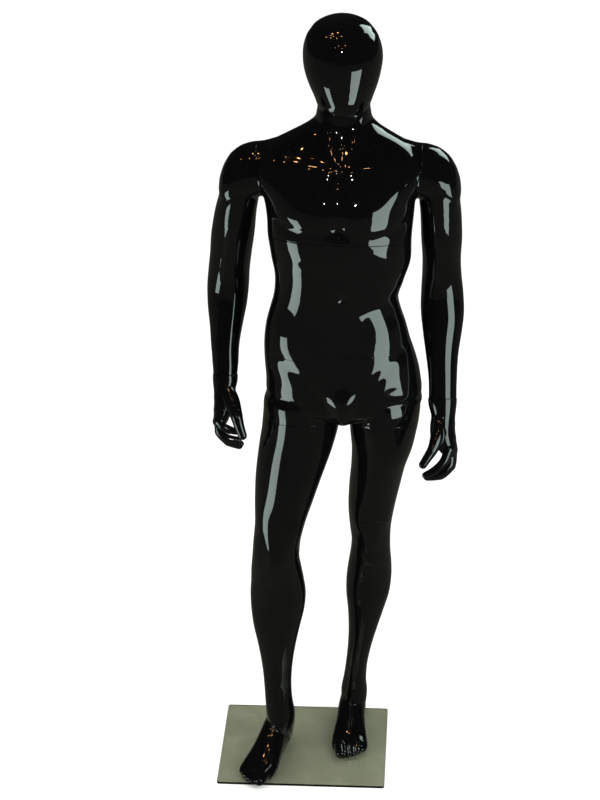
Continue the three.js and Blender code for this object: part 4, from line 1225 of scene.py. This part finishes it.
def smoothly(mesh: bpy.types.Mesh, seams: list[Seam]) -> None:
    """Shades a moulding smooth, with its seam faces flat and its corners sharp."""
    flags = np.ones(len(mesh.polygons), dtype=bool)
    facing = np.empty(len(mesh.polygons) * 3)
    mesh.polygons.foreach_get("normal", facing)
    centre = np.empty(len(mesh.polygons) * 3)
    mesh.polygons.foreach_get("center", centre)
    facing, centre = facing.reshape(-1, 3), centre.reshape(-1, 3)
    for seam in seams:
        normal, start = np.array(seam.normal), np.array(seam.point)
        flat = (np.abs(facing @ normal) > 0.999) & (np.abs((centre - start) @ normal) < SEAM_GAP)
        flags[flat] = False
    mesh.polygons.foreach_set("use_smooth", flags)
    mesh.set_sharp_from_angle(angle=math.radians(42))


def part_at(parts: list[bpy.types.Mesh], place: Row) -> bpy.types.Mesh:
    """Picks the separate part whose skin is nearest to a drawn place."""
    target = placed(np.array([place]))[0]
    return min(parts, key=lambda part: float(np.min(np.sum((positions(part) - target) ** 2, axis=1))))


@dataclass
class Mouldings:
    """The ten gloss mouldings, cut from smooth skins at the flat seams."""

    figure: Figure
    lacquer: bpy.types.Material
    right_foot: Foot = field(default_factory=lambda: Foot((-67, 0), -16, 1))
    left_foot: Foot = field(default_factory=lambda: Foot((113, 122), -1, -1))
    armpit: float = 1417.0
    neck_clearance: float = 0.0595
    socket_tube: float = 0.0138

    def build(self) -> None:
        """Builds every moulding and hangs it on its body."""
        self.build_trunk()
        self.build_leg("right_leg_shell", "leg", self.figure.right_leg, self.right_foot, "thigh", (-57, -80, 485))
        self.build_leg("left_lower_leg_shell", "lower_leg", self.figure.left_leg, self.left_foot, "knee", (156, 10, 440))
        self.build_head()
        self.build_hand("right_hand", "hand_right", right_hand())
        self.build_hand("left_hand", "hand_left", left_hand())

    def cutters(self) -> dict[str, Surface]:
        """The thin plates that part the trunk, with the room for each lock."""
        return {
            "neck": slab(SEAMS["neck"], (0.09, 0.09)),
            "waist": slab(SEAMS["waist"], (0.175, 0.2), (0.0, 0.0)),
            "hip": slab(SEAMS["hip"], (0.19, 0.2)),
            "thigh": lathe(SEAMS["thigh"], [(0.101, -SEAM_GAP / 2), (0.101, SEAM_GAP / 2)]),
            "knee": slab(SEAMS["knee"], (0.075, 0.11)),
            "right_shoulder": slab(SEAMS["right_shoulder"], (0.0755, 0.09), (0.0005, 0.0)),
            "left_shoulder": slab(SEAMS["left_shoulder"], (0.0755, 0.09), (-0.0005, 0.0)),
            "right_wrist": slab(SEAMS["right_wrist"], (0.05, 0.05)),
            "left_wrist": slab(SEAMS["left_wrist"], (0.05, 0.05)),
        }

    def ledge(self, side: Side) -> Surface:
        """The level step under a shoulder seam, where the arm leaves the chest."""
        seam = SEAMS["left_shoulder" if side is Side.LEFT else "right_shoulder"]
        level = float(placed(np.array([[0, 0, self.armpit]]))[0, 2])
        drop = seam.point.z - level
        at = seam.point.x - side.value * 0.14 * drop
        near, far = at - side.value * 0.0006, at + side.value * 0.0075
        y = seam.point.y
        return brick((min(near, far), y - 0.07, level - SEAM_GAP / 2), (max(near, far), y + 0.07, level + SEAM_GAP / 2))

    def parted(self, mesh: bpy.types.Mesh, names: list[str]) -> list[bpy.types.Mesh]:
        """Cuts a skin at seams and returns the separate parts."""
        sheets = self.cutters()
        for name in names:
            tool = sheets[name].to_mesh("sheet")
            tool = combined(tool, pocket(SEAMS[name]).to_mesh("pocket"), "UNION")
            if name.endswith("shoulder"):
                side = Side.LEFT if name.startswith("left") else Side.RIGHT
                tool = combined(tool, self.ledge(side).to_mesh("ledge"), "UNION")
            mesh = combined(mesh, tool, "DIFFERENCE")
        return islands(mesh)

    def finish_part(self, name: str, mesh: bpy.types.Mesh, body: str, seam_names: list[str]) -> None:
        """Eases the rims of a part and hangs it on its body."""
        for seam_name in seam_names:
            rim_eased(mesh, SEAMS[seam_name])
        smoothly(mesh, [SEAMS[seam_name] for seam_name in seam_names])
        finished(name, mesh, body, "gloss_shell", (name.replace("_moulding", ""),), self.lacquer)

    def build_trunk(self) -> None:
        """Chest, abdomen, pelvis and both arms, from one skin."""
        mesh = remeshed(self.figure.trunk(), SKIN_VOXEL)
        relaxed(mesh, 14)
        modelled(mesh, self.figure.features())
        relaxed(mesh, 4)
        names = ["neck", "waist", "hip", "thigh", "knee", "right_shoulder", "left_shoulder", "right_wrist", "left_wrist"]
        parts = self.parted(mesh, names)
        wanted = [
            ("chest_shell", "chest", (89, -120, 1440), ["neck", "waist", "right_shoulder", "left_shoulder"]),
            ("abdomen_shell", "abdomen", (80, -100, 1200), ["waist", "hip"]),
            ("pelvis_shell", "pelvis", (184, -80, 826), ["hip", "thigh", "knee"]),
            ("right_arm_shell", "arm_right", (-163, 124, 1225), ["right_shoulder", "right_wrist"]),
            ("left_arm_shell", "arm_left", (313, 100, 1230), ["left_shoulder", "left_wrist"]),
        ]
        for name, body, place, seam_names in wanted:
            self.finish_part(f"{name}_moulding", part_at(parts, place), body, seam_names)

    def build_leg(self, name: str, body: str, rows: list[Row], foot: Foot, seam: str, place: Row) -> None:
        """One leg below its seam, with its foot."""
        mesh = remeshed(self.figure.leg(rows, foot), LEG_VOXEL)
        relaxed(mesh, 30)
        modelled(mesh, self.figure.features() + foot.features())
        relaxed(mesh, 5)
        part = part_at(self.parted(mesh, [seam]), place)
        if body == "lower_leg":
            part = combined(part, self.socket_room().to_mesh("room"), "DIFFERENCE")
            part = combined(part, self.keyway().to_mesh("keyway"), "DIFFERENCE")
        self.finish_part(f"{name}_moulding", part, body, [seam])

    def socket_room(self) -> Surface:
        """The bore in the left sole and ankle that holds the foot socket."""
        low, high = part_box("foot_socket")
        at = Seam(Vector(((low.x + high.x) / 2, (low.y + high.y) / 2, 0.0)), Vector((0, 0, 1)), 0.0, 0.0)
        wide = (high.x - low.x) / 2 + 0.0027
        tube = self.socket_tube
        return lathe(at, [(wide, -0.01), (wide, low.z + 0.0036), (tube, low.z + 0.0036), (tube, high.z + 0.006)], 48)

    def keyway(self) -> Surface:
        """The hole in the heel that the grub screw is reached through."""
        low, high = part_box("socket_set_screw")
        at = Seam(Vector(((low.x + high.x) / 2, low.y, (low.z + high.z) / 2)), Vector((0, 1, 0)), 0.0, 0.0)
        return lathe(at, [(0.0045, 0.0), (0.0045, 0.12)], 32)

    def build_head(self) -> None:
        """The egg-shaped head, hollowed out round the neck."""
        x, y, z, half_width, half_depth, half_height = self.figure.chin
        angles = np.linspace(0.03, np.pi - 0.03, 24)
        rows = [
            (z - half_height * math.cos(a), x, y, half_width * math.sin(a), half_depth * math.sin(a), half_depth * math.sin(a))
            for a in angles
        ]
        shape = body_loft(self.figure.head, 128, 4.0).joined(body_loft(rows, 72, 2.0))
        mesh = remeshed(shape, LEG_VOXEL)
        relaxed(mesh, 60)
        half = SEAM_GAP / 2
        clear = self.neck_clearance
        flange = SEAMS["neck"].flange
        room = lathe(SEAMS["neck"], [
            (clear, -0.07), (clear, half), (flange + 0.0003, half), (flange + 0.0003, half + 0.0033),
            (flange * 0.6, half + 0.0033), (flange * 0.6, half + 0.015),
        ], 96)
        part = combined(mesh, room.to_mesh("room"), "DIFFERENCE")
        self.finish_part("head_shell_moulding", islands(part)[0], "head", [])

    def build_hand(self, name: str, body: str, hand: Hand) -> None:
        """One hand, cut flat at its wrist."""
        mesh = hand.mesh()
        tool = combined(
            slab(hand.seam, (0.06, 0.06)).to_mesh("sheet"), pocket(hand.seam).to_mesh("pocket"), "UNION"
        )
        parts = islands(combined(mesh, tool, "DIFFERENCE"))
        self.finish_part(f"{name}_moulding", parts[0], body, [f"{name.split('_')[0]}_wrist"])


def countersunk_tree(steel: bpy.types.Material) -> bpy.types.GeometryNodeTree:
    """A tree that sets a countersunk screw with a hexagon socket on every point of a mesh.

    Args:
        steel: The finish of the screws.

    Returns:
        The tree, with the inputs Head radius, Socket radius, Shank radius and Length in metres.
    """
    tree = bpy.data.node_groups.new("Countersunk screws", "GeometryNodeTree")
    tree.interface.new_socket("Geometry", in_out="INPUT", socket_type="NodeSocketGeometry")
    for title, value in (("Head radius", 0.0044), ("Socket radius", 0.0019), ("Shank radius", 0.0022), ("Length", 0.007)):
        tree.interface.new_socket(title, in_out="INPUT", socket_type="NodeSocketFloat").default_value = value
    tree.interface.new_socket("Geometry", in_out="OUTPUT", socket_type="NodeSocketGeometry")
    net, (start, end) = Net(tree), group_ends(tree)
    cone = {"fill_type": "NGON"}
    head = net.add("GeometryNodeMeshCone", cone, Vertices=36, Radius_Top=start.outputs["Head radius"],
                   Radius_Bottom=start.outputs["Shank radius"], Depth=0.002)
    drive = net.add("GeometryNodeMeshCylinder", cone, Vertices=6, Radius=start.outputs["Socket radius"], Depth=0.0024)
    lifted = net.add("GeometryNodeTransform", Geometry=drive.outputs["Mesh"], Translation=(0.0, 0.0, 0.0021))
    cut = net.add("GeometryNodeMeshBoolean", {"operation": "DIFFERENCE"})
    tree.links.new(head.outputs["Mesh"], cut.inputs[0])
    tree.links.new(lifted.outputs["Geometry"], cut.inputs[1])
    depth = net.math("SUBTRACT", start.outputs["Length"], 0.0019)
    shank = net.add("GeometryNodeMeshCylinder", cone, Vertices=24, Radius=start.outputs["Shank radius"], Depth=depth)
    drop = net.add("ShaderNodeCombineXYZ", Z=net.math("MULTIPLY", depth, -0.5))
    sunk = net.add("GeometryNodeTransform", Geometry=shank.outputs["Mesh"], Translation=drop.outputs[0])
    screw = net.add("GeometryNodeJoinGeometry")
    tree.links.new(cut.outputs["Mesh"], screw.inputs[0])
    tree.links.new(sunk.outputs["Geometry"], screw.inputs[0])
    level = net.add("GeometryNodeTransform", Geometry=screw.outputs[0], Translation=(0.0, 0.0, -0.00205))
    turn = net.add("FunctionNodeAlignRotationToVector", {"axis": "Z"}, Vector=net.add("GeometryNodeInputNormal").outputs[0])
    placed_screws = net.add("GeometryNodeInstanceOnPoints", Points=start.outputs["Geometry"],
                            Instance=level.outputs["Geometry"], Rotation=turn.outputs[0])
    real = net.add("GeometryNodeRealizeInstances", Geometry=placed_screws.outputs[0])
    dressed = net.add("GeometryNodeSetMaterial", Geometry=real.outputs[0], Material=steel)
    tree.links.new(dressed.outputs[0], end.inputs[0])
    return tree


@dataclass
class LockScrews:
    """The countersunk screws of the socket plates."""

    tree: bpy.types.GeometryNodeTree
    steel: bpy.types.Material
    head_radius: float = 0.0044
    shank_radius: float = 0.0022
    length: float = 0.0068

    def build(self) -> None:
        """Builds the screws of every body as one piece each."""
        owners = {"lower_leg": ["knee"], "pelvis": ["hip", "thigh"], "abdomen": ["waist"],
                  "chest": ["neck", "right_shoulder", "left_shoulder"]}
        for body, seam_names in owners.items():
            self.build_body(body, seam_names)

    def build_body(self, body: str, seam_names: list[str]) -> None:
        """Sets one body's screws where its frame parts lie, flush with their plates."""
        quads, nodes = [], []
        for seam_name in seam_names:
            seam = SEAMS[seam_name]
            for number in (1, 2):
                node = f"{seam_name}_socket_plate_screw_{number}"
                low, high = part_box(node)
                middle = (low + high) / 2
                top = middle - seam.normal * ((middle - seam.point) @ seam.normal + SEAM_GAP / 2)
                quads.append((top, seam.normal))
                nodes.append(node)
        seats = bpy.data.meshes.new("seats")
        verts, faces = [], []
        for top, normal in quads:
            across = normal.orthogonal().normalized() * 1e-5
            other = normal.cross(across)
            faces.append(tuple(range(len(verts), len(verts) + 3)))
            verts += [top + across, top - across * 0.5 + other, top - across * 0.5 - other]
        seats.from_pydata([tuple(v) for v in verts], [], faces)
        points = bpy.data.objects.new("seats", seats)
        bpy.context.scene.collection.objects.link(points)
        centre = self.on_faces()
        maker = points.modifiers.new("screws", "NODES")
        maker.node_group = centre
        values = {"Head radius": self.head_radius, "Shank radius": self.shank_radius, "Length": self.length}
        for item in centre.interface.items_tree:
            if item.item_type == "SOCKET" and item.in_out == "INPUT" and item.name in values:
                maker[item.identifier] = values[item.name]
        view = bpy.context.evaluated_depsgraph_get()
        mesh = bpy.data.meshes.new_from_object(points.evaluated_get(view))
        bpy.data.objects.remove(points)
        finished(f"{body}_lock_screws", mesh, body, "zinc_steel", tuple(nodes), self.steel)

    def on_faces(self) -> bpy.types.GeometryNodeTree:
        """The screw tree, fed with the middles of the seats."""
        name = "Screws on seats"
        if name in bpy.data.node_groups:
            return bpy.data.node_groups[name]
        tree = bpy.data.node_groups.new(name, "GeometryNodeTree")
        tree.interface.new_socket("Geometry", in_out="INPUT", socket_type="NodeSocketGeometry")
        for title in ("Head radius", "Shank radius", "Length"):
            tree.interface.new_socket(title, in_out="INPUT", socket_type="NodeSocketFloat")
        tree.interface.new_socket("Geometry", in_out="OUTPUT", socket_type="NodeSocketGeometry")
        net, (start, end) = Net(tree), group_ends(tree)
        middles = net.add("GeometryNodeMeshToPoints", {"mode": "FACES"}, Mesh=start.outputs["Geometry"])
        set_screws = net.add("GeometryNodeGroup", {"node_tree": self.tree}, Geometry=middles.outputs[0])
        for title in ("Head radius", "Shank radius", "Length"):
            tree.links.new(start.outputs[title], set_screws.inputs[title])
        tree.links.new(set_screws.outputs[0], end.inputs[0])
        return tree


@dataclass
class GlassBase:
    """The clear glass plate with softened edges and the hole for the spigot screw."""

    clear: bpy.types.Material
    edge: bpy.types.Material
    corner: float = 0.006
    arris: float = 0.0009

    def build(self) -> None:
        """Builds the plate where the frame's glass lies."""
        low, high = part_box("glass_base")
        rings = [self.outline(low, high, inset) for inset in (self.arris, 0.0, 0.0, self.arris)]
        heights = (low.z, low.z + self.arris, high.z - self.arris, high.z)
        stack = np.array([[(x, y, z) for x, y in ring] for ring, z in zip(rings, heights)])
        count, sides, _ = stack.shape
        faces = [
            (i * sides + j, i * sides + (j + 1) % sides, (i + 1) * sides + (j + 1) % sides, (i + 1) * sides + j)
            for i in range(count - 1) for j in range(sides)
        ]
        faces += [tuple(range(sides))[::-1], tuple(range((count - 1) * sides, count * sides))]
        plate = Surface(stack.reshape(-1, 3), faces).to_mesh("plate")
        screw_low, screw_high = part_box("base_screw")
        bush_low, bush_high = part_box("base_bushing")
        at = Seam(Vector(((screw_low.x + screw_high.x) / 2, (screw_low.y + screw_high.y) / 2, 0.0)), Vector((0, 0, 1)), 0, 0)
        head, bore = (screw_high.x - screw_low.x) / 2 + 0.0003, (bush_high.x - bush_low.x) / 2 + 0.0003
        hole = lathe(at, [(head, -0.002), (head, 0.0027), (bore, 0.0027), (bore, 0.01)], 64)
        plate = combined(plate, hole.to_mesh("hole"), "DIFFERENCE")
        finished("glass_plate", plate, "base", "clear_glass", ("glass_base",), self.clear, self.edge)
        for face in plate.polygons:
            face.material_index = 0 if abs(face.normal.z) > 0.9 else 1
            face.use_smooth = abs(face.normal.z) < 0.5

    def outline(self, low: Vector, high: Vector, inset: float) -> list[tuple[float, float]]:
        """The plate's outline with round corners, drawn in from the edge."""
        r = self.corner
        points = []
        for sx, sy, first in ((1, 1, 0), (-1, 1, 90), (-1, -1, 180), (1, -1, 270)):
            cx = (high.x - r) if sx > 0 else (low.x + r)
            cy = (high.y - r) if sy > 0 else (low.y + r)
            for step in range(9):
                a = math.radians(first + 90 * step / 8)
                points.append((cx + (r - inset) * math.cos(a), cy + (r - inset) * math.sin(a)))
        return points


@dataclass
class Fittings:
    """The steel, chrome, rubber and nylon parts carried over from the frame."""

    steel: bpy.types.Material
    chrome: bpy.types.Material
    rubber: bpy.types.Material
    nylon: bpy.types.Material

    def dress(self) -> None:
        """Gives each carried-over part its finish."""
        special = {
            "base_flange": self.chrome, "foot_spigot": self.chrome,
            "base_gasket": self.rubber, "base_bushing": self.nylon,
        }
        for name, part in frame["nodes"].items():
            if name.endswith("shell") or name in ("right_hand", "left_hand", "glass_base"):
                continue
            look = special.get(name, self.steel)
            for number in range(len(part.material_slots)):
                part.material_slots[number].material = look


# ------------------------------------------------------------------ studio
@dataclass(frozen=True)
class Lamp:
    """A softbox or strip light: where it stands, where it points, its size and its strength."""

    name: str
    place: Row
    target: Row
    size: tuple[float, float]
    power: float
    colour: Row = (1.0, 1.0, 1.0)
    seen: bool = True

    def build(self) -> None:
        """Hangs the light."""
        data = bpy.data.lights.new(self.name, "AREA")
        data.shape = "RECTANGLE"
        data.size, data.size_y = self.size
        data.energy = self.power
        data.color = self.colour
        lamp = bpy.data.objects.new(self.name, data)
        bpy.context.scene.collection.objects.link(lamp)
        lamp.location = self.place
        away = Vector(self.place) - Vector(self.target)
        lamp.rotation_mode = "QUATERNION"
        lamp.rotation_quaternion = away.to_track_quat("Z", "Y")
        lamp.visible_camera = False
        lamp.visible_glossy = self.seen


def mirrored(net: Net) -> bpy.types.NodeSocket:
    """A mask that is 1 where a surface is seen as a reflection, and not through glass."""
    path = net.add("ShaderNodeLightPath")
    direct = net.math("SUBTRACT", 1.0, path.outputs["Is Transmission Ray"])
    return net.math("MULTIPLY", path.outputs["Is Glossy Ray"], direct)


@dataclass
class Studio:
    """Pale floor, dark surroundings, softboxes and the camera."""

    lens: float = 102.27
    place: Row = (0.2967, -4.6017, 3.2252)
    pitch: float = 26.307
    swing: float = -3.712
    roll: float = -0.590

    def build(self) -> None:
        """Sets up the whole studio."""
        bpy.context.scene.view_settings.view_transform = "Standard"
        self.build_floor()
        self.build_world()
        for lamp in self.lamps():
            lamp.build()
        self.build_camera()

    def build_floor(self) -> None:
        """A wide pale floor with a painted dark reflection: seen in a reflection, its colour turns near black to stand
        for a dim room.
        """
        mesh = bpy.data.meshes.new("floor")
        size = 14.0
        low = -0.0005
        corners = [(-size, -size, low), (size, -size, low), (size, size, low), (-size, size, low)]
        mesh.from_pydata(corners, [], [(0, 1, 2, 3)])
        floor = bpy.data.objects.new("floor", mesh)
        bpy.context.scene.collection.objects.link(floor)
        material, net, shader = started("pale_floor")
        grain = net.noise(net.add("ShaderNodeTexCoord").outputs["Object"], 3.0, 2.0)
        pale = blended(net, grain, (0.96, 0.96, 0.96), (0.94, 0.94, 0.935))
        # Painted dark reflection: the floor colour is near black for reflection rays only, standing in for a dim room
        # around the figure.
        tone = blended(net, mirrored(net), pale, (0.062, 0.062, 0.052))
        net.tree.links.new(tone, shader.inputs["Base Color"])
        shader.inputs["Roughness"].default_value = 0.9
        shader.inputs["Specular IOR Level"].default_value = 0.1
        mesh.materials.append(material)

    def build_world(self) -> None:
        """White behind the figure, and a dim room in what it reflects."""
        world = bpy.data.worlds.new("studio")
        bpy.context.scene.world = world
        world.use_nodes = True
        net = Net(world.node_tree)
        ground = world.node_tree.nodes["Background"]
        ground.inputs["Color"].default_value = (1.0, 1.0, 1.0, 1.0)
        dark = net.math("MULTIPLY", mirrored(net), -1.10)
        net.tree.links.new(net.math("ADD", dark, 1.115), ground.inputs["Strength"])

    def lamps(self) -> list[Lamp]:
        """The lights, named for what they do."""
        pale, warm = (0.82, 1.0, 0.94), (1.0, 0.5, 0.18)
        ceiling = [(-0.42, 0.42), (-0.50, -0.20), (0.12, -0.20), (-0.32, -0.72), (-0.62, 0.10), (-0.15, -1.3),
                   (-0.95, -0.55), (0.25, -2.2), (-0.75, -1.9), (0.55, -1.2), (-1.5, -0.2), (-0.1, 0.5)]
        return [
            Lamp("softbox_by_left_side", (0.92, -0.72, 1.08), (0.12, 0.0, 1.08), (0.62, 0.84), 8.6, pale),
            Lamp("softbox_by_right_side", (-1.15, -0.66, 0.45), (0.0, -0.05, 0.6), (0.54, 0.72), 6.2, pale),
            Lamp("softbox_behind_left", (1.25, 1.55, 2.5), (0.15, 0.0, 1.6), (1.0, 1.0), 14.0, pale),
            Lamp("flash", (0.33, -4.55, 3.30), (0.1, 0, 1.2), (0.12, 0.09), 20.0, (1.0, 0.93, 0.96)),
            *[Lamp(f"ceiling_{number}", (x, y, 3.3), (x, y, 0), (0.07, 0.07), 1.2, warm)
              for number, (x, y) in enumerate(ceiling, 1)],
        ]

    def build_camera(self) -> None:
        """The camera, looking down at the figure."""
        data = bpy.data.cameras.new("camera")
        data.lens, data.sensor_width = self.lens, 36.0
        camera = bpy.data.objects.new("camera", data)
        bpy.context.scene.collection.objects.link(camera)
        p, w, r = (math.radians(a) for a in (self.pitch, self.swing, self.roll))
        ahead = Vector((math.sin(w) * math.cos(p), math.cos(w) * math.cos(p), -math.sin(p)))
        right = Vector((math.cos(w), -math.sin(w), 0.0))
        up = right.cross(ahead)
        turned_right = right * math.cos(r) + up * math.sin(r)
        turned_up = up * math.cos(r) - right * math.sin(r)
        basis = Matrix((turned_right, turned_up, -ahead)).transposed().to_4x4()
        basis.translation = Vector(self.place)
        camera.matrix_world = basis
        bpy.context.scene.camera = camera


def main() -> None:
    """Builds the studio, the mannequin and its fittings in order."""
    Studio().build()
    effects = Effects()
    lacquer = GlossLacquer().material(effects)
    steel = Metal("zinc_plated_steel", (0.62, 0.63, 0.64), (0.42, 0.43, 0.46), 0.24, 0.16, 1500.0).material(effects)
    chrome = Metal("bright_chrome", (0.78, 0.79, 0.80), (0.70, 0.71, 0.73), 0.05, 0.03, 2400.0).material(effects)
    rubber = Moulded("gasket_rubber", (0.012, 0.012, 0.012), (0.04, 0.038, 0.036), 0.62).material(effects)
    nylon = Moulded("white_nylon", (0.72, 0.70, 0.64), (0.58, 0.55, 0.48), 0.42).material(effects)
    clear = FloatGlass("clear_float_glass", (0.235, 0.245, 0.185), 0.01, 0.0).material(effects)
    edge = FloatGlass("ground_glass_edge", (0.03, 0.045, 0.03), 0.12, 0.12).material(effects)
    Mouldings(Figure(), lacquer).build()
    GlassBase(clear, edge).build()
    LockScrews(countersunk_tree(steel), steel).build()
    Fittings(steel, chrome, rubber, nylon).dress()


if __name__ == "__main__":
    main()
